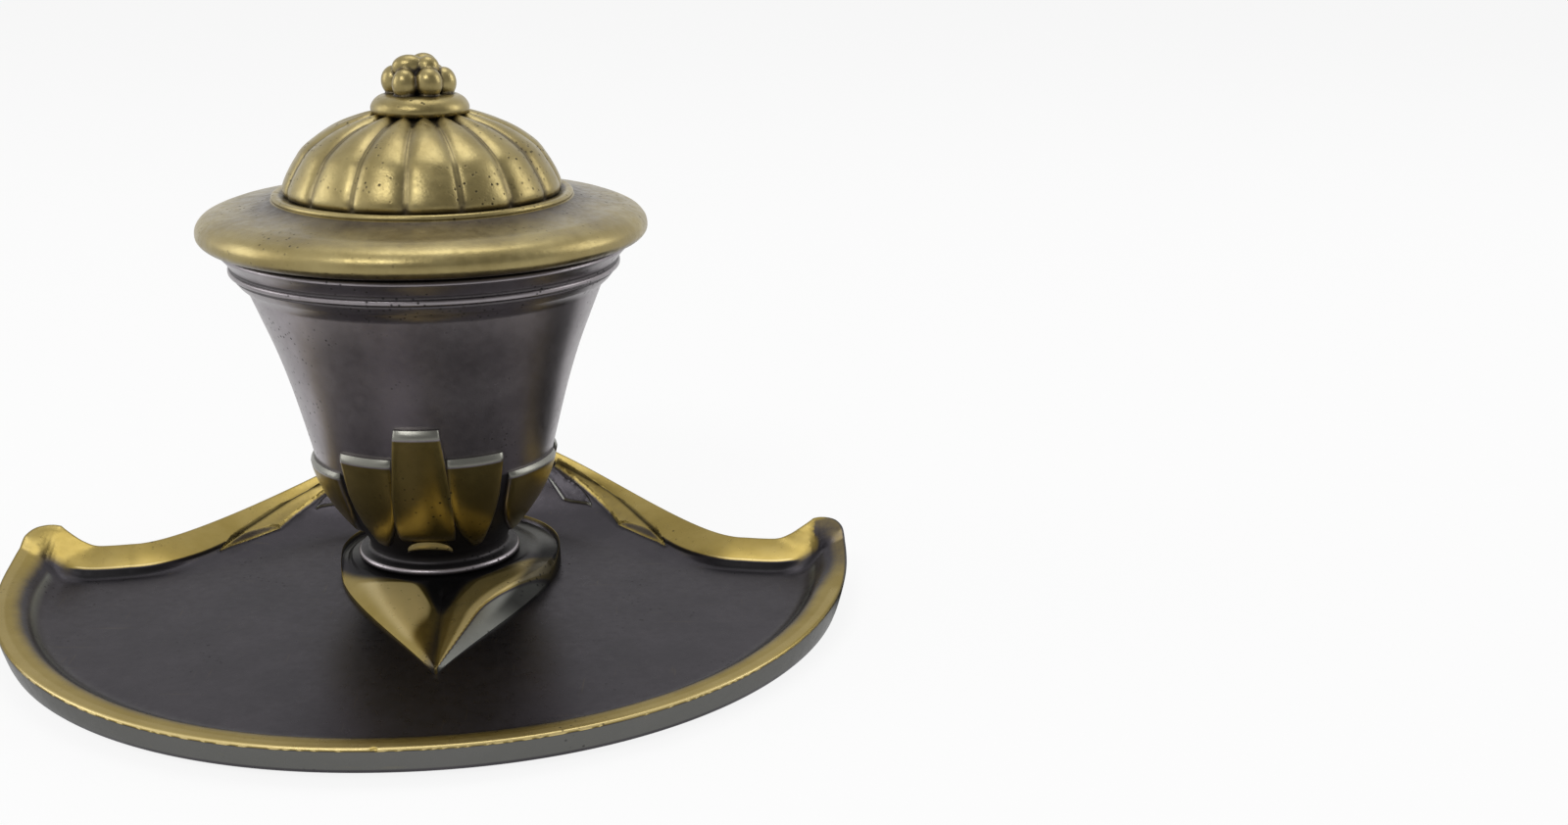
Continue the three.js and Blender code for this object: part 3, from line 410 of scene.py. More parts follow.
def nearest(flat, line):
    """Distance from each place to a line, and where along the line's points it is nearest."""
    a, b = line[:-1], line[1:]
    step = b - a
    square = np.maximum((step**2).sum(1), 1e-12)
    far, at = np.empty(len(flat)), np.empty(len(flat))
    for start in range(0, len(flat), 4000):
        p = flat[start:start + 4000, None]
        t = np.clip(((p - a) * step).sum(2) / square, 0, 1)
        gap = np.hypot(*np.moveaxis(p - a - t[..., None] * step, 2, 0))
        pick = gap.argmin(1)
        rows = np.arange(len(pick))
        far[start:start + 4000] = gap[rows, pick]
        at[start:start + 4000] = pick + t[rows, pick]
    return far, at


def inside(flat, loop):
    """Which places lie inside a closed line."""
    x, y = flat[:, 0], flat[:, 1]
    hits = np.zeros(len(flat), bool)
    for (x0, y0), (x1, y1) in zip(loop, np.roll(loop, -1, 0)):
        cross = (y0 > y) != (y1 > y)
        if y0 != y1:
            hits ^= cross & (x < (x1 - x0) * (y - y0) / (y1 - y0) + x0)
    return hits


def depth_in(flat, loop):
    """Distance to a closed line, positive inside it."""
    far, _ = nearest(flat, np.concatenate([loop, loop[:1]]))
    return np.where(inside(flat, loop), far, -far)


FRONT_KEYS = [0.0, 0.08, 0.2, 0.45, 0.9, 2.2, 3.5, 4.4, 5.0]
FRONT_DROP = [0.5, 0.24, 0.1, 0.02, 0.0, 0.04, 0.16, 0.42, 0.8]
COVE_KEYS = [0.0, 0.12, 0.3, 0.5, 0.7, 0.86, 1.0]
COVE_FALL = [1.0, 0.85, 0.56, 0.3, 0.12, 0.03, 0.0]
WALL_KEYS = [0.0, 0.1, 0.22, 0.36, 0.5, 0.65, 0.8, 1.0]
WALL_FALL = [1.0, 0.93, 0.72, 0.42, 0.2, 0.08, 0.02, 0.0]


def read(row, at):
    """One of the outline's values, read at places between its points."""
    return np.interp(at, np.arange(len(row)), row)


def front_height(d, at):
    """Height over the floor beside the front and sides: crisp outer edge, broad top, soft cove."""
    deep, tilt = read(RIM, at) - FLOOR_Z, read(TILT, at)
    on_band = np.minimum(d, FRONT_BAND)
    top = deep - curve_through(FRONT_KEYS, FRONT_DROP, on_band) - tilt * on_band / FRONT_BAND
    along = np.clip((d - FRONT_BAND) / (2.6 + 0.35 * deep), 0, 1)
    cove = (deep - FRONT_DROP[-1] - tilt) * curve_through(COVE_KEYS, COVE_FALL, along)
    return np.where(d < FRONT_BAND, top, cove)


def back_height(d, at):
    """Height over the floor beside the bay and back, the band's width and the share of the long sweep.

    A band tilted forwards ends in a steep wall or runs out in a long sweep."""
    deep, sweep, band = (read(row, at + HORN_AT) for row in (RIM, SWEEP, BAND))
    deep = deep - FLOOR_Z
    u = np.clip(d / band, 0, 1)
    drop = BAND_DROP * (0.25 + 0.75 * band / BAND_BAY)
    top = deep - 0.28 * np.exp(-(d / 0.16)**1.5) - drop * (0.85 * u + 0.15 * u**3)
    edge = np.maximum(deep - drop, 0.05)
    far = d - band
    steep = edge * curve_through(WALL_KEYS, WALL_FALL, np.clip(far / (1.9 + 0.2 * edge), 0, 1))
    gentle = edge * np.maximum(0, 1 - far / sweep)**2 - 0.42 * smooth(far, 0, 0.3) * (1 - smooth(far, 1.2, 4.5))
    wide = smooth(sweep, EDGE_SWEEP * 1.02, EDGE_SWEEP * 1.9)
    return np.where(far < 0, top, steep * (1 - wide) + gentle * wide), band, wide


def tray_base(flat):
    """Height over the floor, distances to both lines, band and sweep at places of the right half.

    Both lines go on straight past the horn."""
    ahead = LINE[HORN_AT + 3] - LINE[HORN_AT - 3]
    ahead = ahead / np.linalg.norm(ahead) * 14
    d_front, at_front = nearest(flat, np.concatenate([LINE[:HORN_AT + 1], [LINE[HORN_AT] + ahead]]))
    d_back, at_back = nearest(flat, np.concatenate([[LINE[HORN_AT] - ahead], LINE[HORN_AT:]]))
    a = front_height(d_front, np.minimum(at_front, HORN_AT))
    b, band, wide = back_height(d_back, np.maximum(at_back - 1, 0))
    b = b * smooth(d_front - d_back, -6.5, -2.0)
    low = np.minimum(a, b)
    soft = 4.6 * low / (low + 0.8)
    h = np.maximum(soft - np.abs(a - b), 0) / np.maximum(soft, 1e-6)
    return np.maximum(a, b) + h * h * soft / 5, d_front, d_back, band, wide


def closed(points, count):
    """A closed line with even points through the given corners."""
    points = np.array(points + points[:1], float)
    return even(points, count)[:-1]


# The leaves on the tray's floor at the right of the urn: feather, its tip (edged with a painted highlight) and the
# quill beside its root
TIP_EDGE = [(42.8, 5.0), (41.2, 7.2), (39.2, 9.4), (36.8, 12.0), (34.4, 14.5), (33.2, 15.9)]
FEATHER = closed([(20.5, 36.0), (25.5, 32.0), (28.6, 29.1), (31.1, 26.4), (34.2, 22.7), (36.8, 18.9), (39.3, 14.7),
                  (40.9, 11.4), (41.8, 8.7), *TIP_EDGE, (32.6, 17.6), (31.6, 20.2), (30.1, 23.0), (28.0, 26.3),
                  (26.1, 28.8), (23.7, 31.5), (19.6, 34.9)], 220)
CAP = closed([(33.6, 16.2), (34.6, 16.0), (36.4, 14.9), (38.4, 13.1), (40.4, 10.6), (41.8, 7.6), *TIP_EDGE], 120)
QUILL = closed([(19.4, 34.8), (21.9, 32.4), (24.0, 30.7), (25.6, 28.7), (26.9, 26.4), (27.8, 23.6), (26.6, 24.6),
                (25.0, 25.3), (23.4, 25.9), (21.8, 26.8), (20.9, 28.4), (20.0, 30.0), (18.8, 31.9), (17.2, 34.2)], 140)
LEAVES = np.concatenate([FEATHER, CAP, QUILL])
# Steps and boxes (left, front, right, back) of the grids, and the rows beside the lines
SEAM_GRID, FINE_GRID, SEAM_BOX, FINE_BOX = 1.1, 0.42, (0, -84, 78, 44), (13, -6, 50, 42)
FRONT_ROWS = (0.07, 0.16, 0.28, 0.45, 0.7, 1.1, 1.7, 2.4, 3.1, 3.7, 4.2, 4.6, 4.9, 5.2, 5.6, 6.1, 6.8, 7.6, 8.6)
BACK_ROWS = (0.08, 0.2, 0.38, 0.7, 1.3)
EDGE_ROWS = (-0.9, -0.55, -0.3, -0.14, 0.0, 0.14, 0.3, 0.5, 0.8, 1.15, 1.5, 1.9, 2.3, 2.8, 3.5)


def to_rims(flat):
    """Distances to the front and back lines, and where along the back one."""
    back, at = nearest(flat, LINE[HORN_AT:])
    return nearest(flat, LINE[:HORN_AT + 1])[0], back, at


def lattice(step, rise, left, front, right, back):
    """Places in rows, every other row moved by half a step."""
    xs, ys = np.meshgrid(np.arange(left, right, step), np.arange(front, back, rise))
    xs[1::2] += step / 2
    return np.stack([xs.ravel(), ys.ravel()], 1)


def tray_points():
    """Places for the tray's upper face: rows along the rim, rows along the feathers, and a grid between."""
    rows = [(LINE[:HORN_AT] + INWARD[:HORN_AT] * d, np.full(HORN_AT, d), False) for d in FRONT_ROWS]
    line, inward, band = LINE[HORN_AT:], INWARD[HORN_AT:], BAND[HORN_AT:]
    reach = [np.full(len(line), d) for d in BACK_ROWS] + [band * share for share in (0.35, 0.5, 0.65, 0.8)]
    reach += [band + d for d in EDGE_ROWS]
    rows += [(line + inward * d[:, None], d, True) for d in reach]
    kept = []
    for flat, want, behind in rows:
        good = (flat[:, 0] > 0.3) & (want > 0.04)
        flat, want = flat[good], want[good]
        d_front, d_back, _ = to_rims(flat)
        own = d_back if behind else d_front
        corner = (flat[:, 0] > 60) & (flat[:, 1] > -10) & (np.abs(d_front - d_back) < 1.3) & (own > 0.25)
        clear = nearest(flat, LEAVES)[0] > 0.15 if behind and want.min() > 3 else True
        kept.append(flat[(np.abs(own - want) < 0.02) & (np.minimum(d_front, d_back) > 0.05) & clear & ~corner])
    for loop in (FEATHER, CAP, QUILL):
        along = np.roll(loop, -1, 0) - np.roll(loop, 1, 0)
        along /= np.linalg.norm(along, axis=1)[:, None]
        kept += [loop + np.stack([-along[:, 1], along[:, 0]], 1) * d for d in (-0.32, -0.12, 0.0, 0.12, 0.32)]
    for step, (left, *others), past in ((FINE_GRID, FINE_BOX, 0.75), (SEAM_GRID, SEAM_BOX, 3.8)):
        flat = lattice(step, step * 0.87, left + step, *others)
        if step == SEAM_GRID:
            flat = flat[~((flat[:, 0] > FINE_BOX[0]) & (flat[:, 0] < FINE_BOX[2]) & (flat[:, 1] > FINE_BOX[1]))]
        d_front, d_back, at = to_rims(flat)
        over = d_back - read(BAND, at + HORN_AT)
        kept.append(flat[(d_front > 8.9) & (over > past) & (nearest(flat, LEAVES)[0] > 0.45)])
    flat = lattice(0.28, 0.25, 60, -10, 78, 5)
    d_front, d_back, _ = to_rims(flat)
    kept.append(flat[(np.abs(d_front - d_back) < 1.25) & (np.minimum(d_front, d_back) > 0.3)])
    flat = np.concatenate(kept)
    loop = np.concatenate([LINE, [[-1, BACK_REACH], [-1, LINE[0, 1]]]])
    flat = flat[inside(flat, loop) & (flat[:, 0] > 0.3)]
    flat = flat[np.minimum(*to_rims(flat)[:2]) > 0.05]
    _, first = np.unique(np.round(flat / 0.07), axis=0, return_index=True)
    return flat[np.sort(first)]


def tray_paint(flat, d_front, d_back, band, wide):
    """Extra height of the feathers, and the gold and recess values, with painted highlights, reflections and shade
    among them.
    """
    feather, cap, quill = (depth_in(flat, loop) for loop in (FEATHER, CAP, QUILL))
    past = d_back - band
    root = smooth(flat[:, 1], 36, 31)
    up = 0.75 * smooth(feather, -0.12, 0.3)
    up = np.where(cap > 0, 0.75 * np.minimum(1, 0.12 + np.clip(feather / 1.6, 0, 1)), up)
    up = up + (0.3 * smooth(quill, -0.16, 0.3) + 0.1 * hill(quill, 0.25, 0.2)) * root
    # Front rim: gold band with a painted highlight along its outer edge at the front, darker along that edge further
    # back, and a silvery painted reflection line at its foot
    away, front, edge = smooth(d_front, 4.0, 6.5), smooth(-flat[:, 1], 25, 72), hill(d_front, 0.1, 0.2)
    gold = 1.08 - 0.5 * smooth(d_front, 1.6, 4.2) - 0.58 * smooth(d_front, 3.6, 5.6)
    gold = gold + (0.35 * front - 0.5 * (1 - front)) * edge
    reflection_line = 0.75 * hill(d_front, 6.3, 0.6)
    # Back rim: gold band with a painted highlight on its lip, painted shade on the wall under it and a thin light gold
    # line painted along the wall's foot as a highlight
    lip = away * hill(past, -0.25, 0.28)
    back = 0.86 * (1 - smooth(past, -0.1, 0.12))
    back = back + 0.42 * lip * (1 - wide) * (1 - 0.8 * (d_back > band + 0.1))
    foot = hill(past, 2.6, 0.17) * (1 - wide) * 0.62 * away
    leaf = 0.72 * smooth(feather, -0.1, 0.15) + 0.12 * smooth(feather, 0.9, 0.3) * (feather > 0)
    # The tip: less gold inside, with a painted highlight along its edge
    leaf = np.where(cap > 0.05, 0.3 + 0.62 * hill(cap, 0.1, 0.3), leaf)
    between_them = 0.22 * wide * (1 - smooth(past, 0.2, 3.5))
    gold = np.maximum.reduce([gold, back, foot, leaf, between_them])
    gold = gold - 0.75 * hill(quill, 0.12, 0.16) * root * (1 - smooth(gold, 0, 0.3))
    gold = gold - reflection_line * (1 - smooth(gold, 0, 0.3)) * smooth(d_back, 5, 9)
    # Painted shade: black on the wall under the back band; black also in the groove beside the long sweep and round
    # the feathers, and darker along the outer edge away from the front
    wall = smooth(past, 0.05, 0.3) * (1 - smooth(past, 1.0, 2.3)) * (1 - wide) * away
    deep = np.maximum.reduce([0.93 * wall, 0.4 * (1 - front) * edge, 0.9 * wide * hill(past, 0.25, 0.26),
                              0.5 * hill(feather, -0.28, 0.25) * (d_back > band + 0.2)])
    return up, gold, np.clip(deep, 0, 1)


def tray_top(body):
    """Upper face: a height field over the right half, mirrored to the left."""
    seam = np.arange(LINE[0, 1] + 0.7, BACK_REACH - 0.3, 0.8)
    border = np.concatenate([LINE, np.stack([np.zeros(len(seam)), seam], 1)[::-1]])
    every = [Vector(p) for p in np.concatenate([border, tray_points()])]
    found = geometry.delaunay_2d_cdt(every, [], [list(range(len(border)))], 1, 1e-5)
    flat = np.array([tuple(v) for v in found[0]])
    faces = [tuple(face) for face in found[2]]
    high, d_front, d_back, *shares = tray_base(np.maximum(flat, [0, -1e9]))
    up, gold, deep = tray_paint(flat, d_front, d_back, *shares)
    # The valley behind each horn is eased into one soft hollow: each value becomes the mean of those around it
    share = (1 - smooth(np.abs(d_front - d_back), 1.5, 5.0)) * smooth(np.minimum(d_front, d_back), 0.15, 1.8)
    share = share * smooth(flat[:, 0], 56, 62) * smooth(flat[:, 1], -13, -8)
    near = np.flatnonzero(share)
    rounds = ((0.5, 6), (1.0, 8), (1.6, 12))
    around = [(r * math.cos(t), r * math.sin(t)) for r, count in rounds for t in angles(count)]
    sums = np.array([high[near], gold[near], deep[near]])
    for offset in around:
        other, *others = tray_base(flat[near] + offset)
        sums += [other, *tray_paint(flat[near] + offset, *others)[1:]]
    for row, total in zip((high, gold, deep), sums):
        row[near] += share[near] * (total / (len(around) + 1) - row[near])
    places = np.concatenate([flat, (FLOOR_Z + high + up)[:, None]], 1)
    # Painted shade: the right-hand rim is darker towards its horn
    right_rim_shade = smooth(flat[:, 1], -27, -10) * (1 - smooth(flat[:, 1] - flat[:, 0] / 40, 0.4, 1.8))
    right_rim_shade = right_rim_shade * (1 - smooth(d_front, 4.4, 5.4))
    body.add(places, faces, gold - 0.62 * right_rim_shade * (d_front < d_back + 1), deep)
    body.add(places * [-1, 1, 1], [face[::-1] for face in faces], gold, deep)


OUTLINE = np.concatenate([LINE, (LINE[1:-1] * [-1, 1])[::-1]])
COUNT = len(OUTLINE)


def crossing(p, q, r, s):
    """Where the lines p-q and r-s cross, or nothing."""
    a, b = q - p, s - r
    area = a[0] * b[1] - a[1] * b[0]
    if abs(area) < 1e-12:
        return None
    t = ((r - p)[0] * b[1] - (r - p)[1] * b[0]) / area
    u = ((r - p)[0] * a[1] - (r - p)[1] * a[0]) / area
    return p + a * t if 0 <= t <= 1 and 0 <= u <= 1 else None


def inset(distance):
    """The whole outline moved square inwards, with the loop at each horn's corner drawn to its mitre."""
    line = LINE + INWARD * distance
    pairs = ((i, j) for i in range(HORN_AT - 40, HORN_AT) for j in range(HORN_AT + 44, HORN_AT, -1))
    for i, j in pairs if distance > 2.5 else ():
        found = crossing(line[i], line[i + 1], line[j], line[j + 1])
        if found is not None:
            line[i + 1:j + 1] = found
            break
    return np.concatenate([line, (line[1:-1] * [-1, 1])[::-1]])


def ring(flat, height):
    """A flat line at one height, or at a height for each point."""
    return np.concatenate([flat, np.broadcast_to(height, (len(flat),))[:, None]], 1)


def tray_shell(body):
    """Outer wall and underside."""
    top_at = lambda flat: FLOOR_Z + tray_base(np.stack([np.abs(flat[:, 0]), flat[:, 1]], 1))[0]
    rows, start = [], inset(FOOT + 4.5)
    for share in (0.9, 0.6, 0.35, 0.18, 0.07, 0.0):
        flat = start + (np.array([0, POLE_Y]) - start) * share
        rows.append(ring(flat, np.maximum(BASE_Z, top_at(flat) - WALL)))
    rows += [ring(inset(FOOT), BASE_Z), ring(inset(TAPER + 0.25), BASE_Z), ring(inset(TAPER), BASE_Z + 0.25)]
    top = top_at(OUTLINE)
    rows += [ring(inset(TAPER * (1 - t)**1.2), BASE_Z + (top - BASE_Z) * t) for t in (0.2, 0.4, 0.6, 0.78, 0.9, 0.97)]
    rows.append(ring(OUTLINE, top))
    # Underside plain, the outer wall silvery as a painted reflection, its top edge a little gold
    gold = [0.0] * 7 + [0.1, 0.12] + [-0.5] * 6 + [0.35]
    body.loft(rows, np.array(gold)[:, None], caps=False)
    places = np.concatenate([rows[0], [[0, POLE_Y, BASE_Z]]])
    body.add(places, [(COUNT, (k + 1) % COUNT, k) for k in range(COUNT)])


PLINTH_HALF, PLINTH_TIP, PLINTH_SHIFT, PLINTH_LEAN, PLINTH_BACK = 20.5, 51.2, 2.2, 3.0, 21.0
SEAT_Z, RIDGE_H, TIP_H, SEAT_R = 6.5, 3.7, 0.85, 16.2


def plinth(body):
    """Heart-shaped plinth: thin-rimmed lobes behind, two gold petals with a valley between them in front."""
    wide, tip = PLINTH_HALF, PLINTH_TIP
    lobe = bezier((0, PLINTH_BACK), (wide * 0.6, PLINTH_BACK), (wide, PLINTH_BACK * 0.55), (wide, 0), 80)
    flank = bezier((wide, 0), (wide, -tip * 0.34), (wide * 0.42, -tip * 0.62), (0, -tip), 170)
    right = np.concatenate([lobe[:-1], flank])
    order = np.argsort(right[:, 1])
    middle_at = lambda y: PLINTH_SHIFT + PLINTH_LEAN * np.maximum(0, -y / tip)**1.5
    line = np.concatenate([right, right[1:-1][::-1] * [-1, 1]])
    line = line + np.stack([middle_at(line[:, 1]), 0 * line[:, 1]], 1)
    seat = line / np.linalg.norm(line, axis=1)[:, None] * SEAT_R
    rows, gold, deep = [], [], []

    def put(flat, t, sink=0.0):
        x, y = flat[:, 0], flat[:, 1]
        front, middle = smooth(-y, -1, 12), middle_at(y)
        half = np.maximum(np.interp(y, right[order, 1], right[order, 0]), 0.5)
        u = np.clip(np.abs(x - middle) / half, 0, 1)
        on_right = smooth(x - middle, -0.6, 0.6)
        either = lambda at_right, at_left: on_right * at_right + (1 - on_right) * at_left
        crest = either(0.95 - 0.40 * smooth(-y, 10, 31), 0.95 - 0.22 * smooth(-y, 8, 30))
        ridge = TIP_H + (RIDGE_H - TIP_H) * (1 - smooth(-y, 13, 50))
        low = 0.42 + 0.4 * smooth(-y, 22, 50)
        arch = lambda top: low + (1 - low) * np.sin(math.pi / 2 * np.clip(u / top, 0, 1))
        over = np.clip((u - crest) / np.maximum(1 - crest, 0.03), 0, 1)
        rise = either(arch(np.minimum(crest, 0.62)) * (1 - 0.84 * over**1.1),
                      arch(0.42) * (1 - 0.8 * np.clip((u - 0.42) / 0.58, 0, 1)**1.9))
        inner = smooth(t, 0.82, 1.0)
        petals = ridge * rise * (1 - inner) + (SEAT_Z - FLOOR_Z) * inner
        rim = hill(t, 0.035, 0.03)
        dish = 2.3 * smooth(t, -0.012, 0.02) + 1.2 * rim + 0.6 * smooth(t, 0.5, 1)
        high = front * petals + (1 - front) * dish
        rows.append(ring(flat, FLOOR_Z + high * (1 - sink) - 0.3 * sink))
        # Painted shade: black near the urn's foot, in the vee between the petals, along the valley and beside the
        # right-hand lobe
        near = 1 - smooth(np.hypot(x, y), 16.2, 19.8)
        down = np.clip((-y - 14) / 17, 0, 1)
        vee = (1 - smooth(u, 0.16 * (1 - down), 0.42 * (1 - down) + 0.05)) * (1 - smooth(down, 0.6, 1))
        valley = hill(u, 0, 0.12) * smooth(-y, 50, 38)
        # Gold on the petals: above 1 a painted highlight over the right petal up to its ridge and over the left petal;
        # below 0 the right-hand outer face is silvery, a painted reflection; less gold in the valley as painted shade
        outer, ridged = 1.3 - 2.0 * smooth(u - crest, 0.02, 0.09), 1.1 + 0.3 * smooth(u - crest, -0.16, 0)
        left = 1.25 - 0.25 * smooth(u, 0.7, 0.98) - 0.9 * smooth(-y - 14 * (u - 0.4), 30, 48)
        face = either(np.where(u > crest, outer, ridged), left)
        face = np.where(face > 0, face * (1 - 0.5 * valley), face)
        # Behind: a thin gold border round the lobes, and their dish silvery as a painted reflection
        lobes = 0.75 * rim - 0.5 * smooth(t, 0.06, 0.12)
        gold.append(front * face * (1 - near) * (1 - vee) + (1 - front) * lobes)
        right_lobe_shade = smooth(x, 4, 12) * smooth(-y, -8, 1) * (1 - smooth(-y, 23, 34)) * smooth(u, 0.74, 0.86)
        shade = np.maximum(near, vee)
        shade = front * (0.97 * shade + 0.3 * valley * (1 - shade))
        deep.append(np.clip(shade + (1 - front) * 0.35 * near + 0.95 * right_lobe_shade, 0, 1))

    put(line, 0.0, 1.0)
    for t in [0.0, 0.008, 0.018, 0.03, 0.043, 0.058, 0.075, *np.linspace(0.095, 0.97, 46), 1.0]:
        put(line * (1 - t) + seat * t, t)
    body.loft(rows, np.clip(np.array(gold), -1, 2), np.array(deep))


tray = Body()
tray_shell(tray)
tray_top(tray)
plinth(tray)
tray_piece = tray.make("tray_dressed", 40)
finish_normals(tray_piece, 40, weld=2e-6)
tray_piece.data.materials.append(DARK)
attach(tray_piece, "base")
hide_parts("pen_tray")

# ---- felt
FELT_TOP = 1.2
FELT_IN = TAPER + 2.4
felt_body = Body()
felt_body.loft([ring(inset(FELT_IN + further), z) for further, z in (
    (3.2, 0.0), (1, 0.0), (0.25, 0.03), (0, 0.3), (0, 0.9), (0.2, 1.15), (1, FELT_TOP), (3.2, FELT_TOP))])
felt_piece = felt_body.make("felt_sheet", 60)
felt_piece.data.materials.append(FELT)
felt_line = inset(FELT_IN)
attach(felt_piece, "base")
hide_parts("base_felt")

# ---- urn
URN_BASE = 6.5
FOOT_R, FOOT_T, NECK_R, NECK_H = 15.0, 1.5, 12.8, 3.0
BOWL_R, BOWL_H, FLARE_R, FLARE_H = 21.9, 20.5, 31.7, 52.1
MOULD_R, MOULD_H, RIM_R, URN_H = 34.9, 55.8, 36.5, 59.7
URN_WALL, URN_FLOOR = 2.6, 11.0
DECK_R, DECK_DEPTH, DECK_LEDGE = 32.1, 3.6, 3.4
BOWL = [[0, 0], [0.1, 0.09], [0.26, 0.31], [0.48, 0.61], [0.69, 0.82], [0.88, 0.95], [1, 1]]
FLARE = [[0, 0], [0.18, 0.14], [0.42, 0.34], [0.65, 0.57], [0.88, 0.85], [1, 1]]
COURSE = np.array([[NECK_H + (BOWL_H - NECK_H) * u, NECK_R + (BOWL_R - NECK_R) * o] for u, o in BOWL]
                  + [[BOWL_H + (FLARE_H - BOWL_H) * u, BOWL_R + (FLARE_R - BOWL_R) * o] for u, o in FLARE[1:]])


def urn_radius(height):
    return curve_through(COURSE[:, 0], COURSE[:, 1], height)


def urn_wall(body):
    """The turned wall: foot, neck, bowl, moulding, rim and hollow."""
    heights = np.concatenate([np.linspace(NECK_H, BOWL_H, 40), np.linspace(BOWL_H, FLARE_H, 50)[1:]])
    outside = [[float(urn_radius(h)), h] for h in heights]
    # Foot ring and neck below the bowl, moulding and rim above the flare, then the hollow
    foot = rounded([[0, 0], [FOOT_R - 0.5, 0], [FOOT_R, 0.5], [FOOT_R, 1.0], [FOOT_R - 0.5, FOOT_T],
                    [NECK_R + 0.4, FOOT_T + 0.15], [NECK_R, FOOT_T * 1.35], outside[0]], 5, 0.35)
    top = [[FLARE_R + 1.5, FLARE_H + 1.35]] + [[MOULD_R + r, MOULD_H + z] for r, z in (
        (-0.75, -1.1), (-0.75, -0.7), (0, -0.45), (0.05, 0.25), (-0.45, 0.55), (-0.2, 1.1), (0.7, 2.3))]
    mouth = DECK_R + 0.3
    top = rounded([outside[-1], *top, [RIM_R, MOULD_H + 3.3], [RIM_R - 0.3, URN_H], [mouth, URN_H],
                   [mouth, URN_H - DECK_DEPTH], [mouth - DECK_LEDGE, URN_H - DECK_DEPTH]], 4, 0.22)
    inner = [[r - URN_WALL, h] for r, h in outside if h > URN_FLOOR + URN_WALL][::-3]
    bowl = [[float(urn_radius(URN_FLOOR + 2.6)) - 3.9, URN_FLOOR + 1.56],
            [float(urn_radius(URN_FLOOR)) - 6.5, URN_FLOOR], [0.01, URN_FLOOR]]
    profile = [list(p) for p in foot[1:-1]] + outside[:-1] + [list(p) for p in top] + inner + bowl
    radii, levels = np.array(profile).T
    out = np.arange(len(profile)) < len(foot) + len(outside) + len(top) - 8
    gold, deep = np.zeros(len(profile)), np.zeros(len(profile))
    # Silvery moulding and foot ring as painted reflection; black in the grooves; painted shade under the foot, round
    # the neck and on the wall behind the staves
    for row, low, high, value in (
            (gold, 47, 50, 0.02), (gold, MOULD_H - 0.3, MOULD_H + 0.3, -0.2), (gold, 0.8, 1.2, -0.1),
            (deep, MOULD_H + 0.4, MOULD_H + 1.1, 0.75), (deep, MOULD_H - 1.2, MOULD_H - 0.6, 0.7),
            (deep, 1.3, NECK_H + 3, 0.93), (deep, -1, 0.6, 0.6), (deep, 4, 20.5, 0.9)):
        row[out & (levels > low) & (levels < high)] = value
    # Painted shade inside the hollow
    deep[~out & (radii < DECK_R - 3)] = 0.6
    body.loft(turned([[r, URN_BASE + z] for r, z in profile], 288), gold[:, None], deep[:, None])


def on_bowl(angle, level, out):
    """A place on the bowl, moved out from its wall."""
    radius = urn_radius(level) + out
    return np.stack([radius * np.sin(angle), -radius * np.cos(angle), URN_BASE + np.asarray(level, float)], -1)


ROW_UP = [0, 0.02, 0.05, 0.1, 0.18, 0.3, 0.45, 0.6, 0.75, 0.86, 0.915, 0.94, 0.96, 0.98, 1]
ROW_OUT = [0.35, 0.62, 0.88, 0.98, 1, 1, 1, 1, 1, 1, 1.0, 0.98, 0.85, 0.66, 0.4]
CROWN = [(0, 0.3), (0.012, 0.62), (0.04, 0.86), (0.09, 0.97), (0.2, 1.03), (0.35, 1.07), (0.5, 1.08), (0.65, 1.07),
         (0.8, 1.03), (0.91, 0.97), (0.96, 0.86), (0.988, 0.62), (1, 0.3)]


def stave(body, start, stop, top, bottom, relief, turn, side):
    """One stave between two angles that depend on the share of its height, in degrees."""
    rows, gold, deep = [], [], []
    for up, proud in zip(ROW_UP, ROW_OUT):
        near, far, level = start(up), stop(up), bottom + (top - bottom) * up
        at = lambda s, out: on_bowl(turn + side * math.radians(near + (far - near) * s), level, out)
        rows.append([at(s, relief * proud * o) for s, o in CROWN] + [at(s, -0.7) for s in (1, 0.5, 0)])
        # The top rows turn silvery as a painted reflection, with a darker painted shade line just under them
        g = [-0.7 if up > 0.93 else 0.95 if 0.03 < s < 0.97 else 0.35 for s, o in CROWN]
        r = [0.0 if 0.01 < s < 0.99 else 0.6 for s, o in CROWN]
        if 0.9 < up < 0.93:
            r = [max(v, 0.35) for v in r]
        gold.append(g + [0, 0, 0])
        deep.append(r + [1, 1, 1])
    body.loft(rows, np.array(gold), np.array(deep))


def crescent(body, turn):
    """Arched lip at the foot of the middle stave."""
    rows = []
    for share in np.linspace(-1, 1, 31):
        swell, low = math.sqrt(1.03 - share**2), 4.4 + 1.2 * (1 - share**2)
        cross = [(-0.7, -0.1), (0.9, -0.1)] + [(out * swell, up * swell) for out, up in (
            (1.75, 0.15), (1.85, 0.55), (1.6, 1.2), (1.1, 1.8))] + [(-0.7, 2.2 * swell)]
        rows.append([on_bowl(turn + math.radians(17 * share), low + up, out) for out, up in cross])
    # Gold on the lip, above 1 on its upper curve as a painted highlight
    body.loft(rows, [0.0, 0.2, 1.0, 1.2, 1.25, 1.2, 0.2])


def staves(body):
    """Front and back alike: a tall middle stave, two lower ones at each side and the crescent."""
    inner = (lambda up: 11.4 + 21.6 * (1 - up)**4, lambda up: 38 * (1 - (1 - up)**8) + 38 * (1 - up)**8,
             25.0, 4.9, 1.3)
    outer = (lambda up: 42.5 + 33.5 * (1 - up)**4, lambda up: 86 - 5 * (1 - up)**8, 20.5, 4.9, 1.04)
    for turn in (0, math.pi):
        stave(body, lambda up: -18 + 8.8 * up, lambda up: 18 - 8.8 * up, 31.0, 7.2, 1.56, turn, 1)
        for side in (1, -1):
            stave(body, *inner, turn, side)
            stave(body, *outer, turn, side)
        crescent(body, turn)


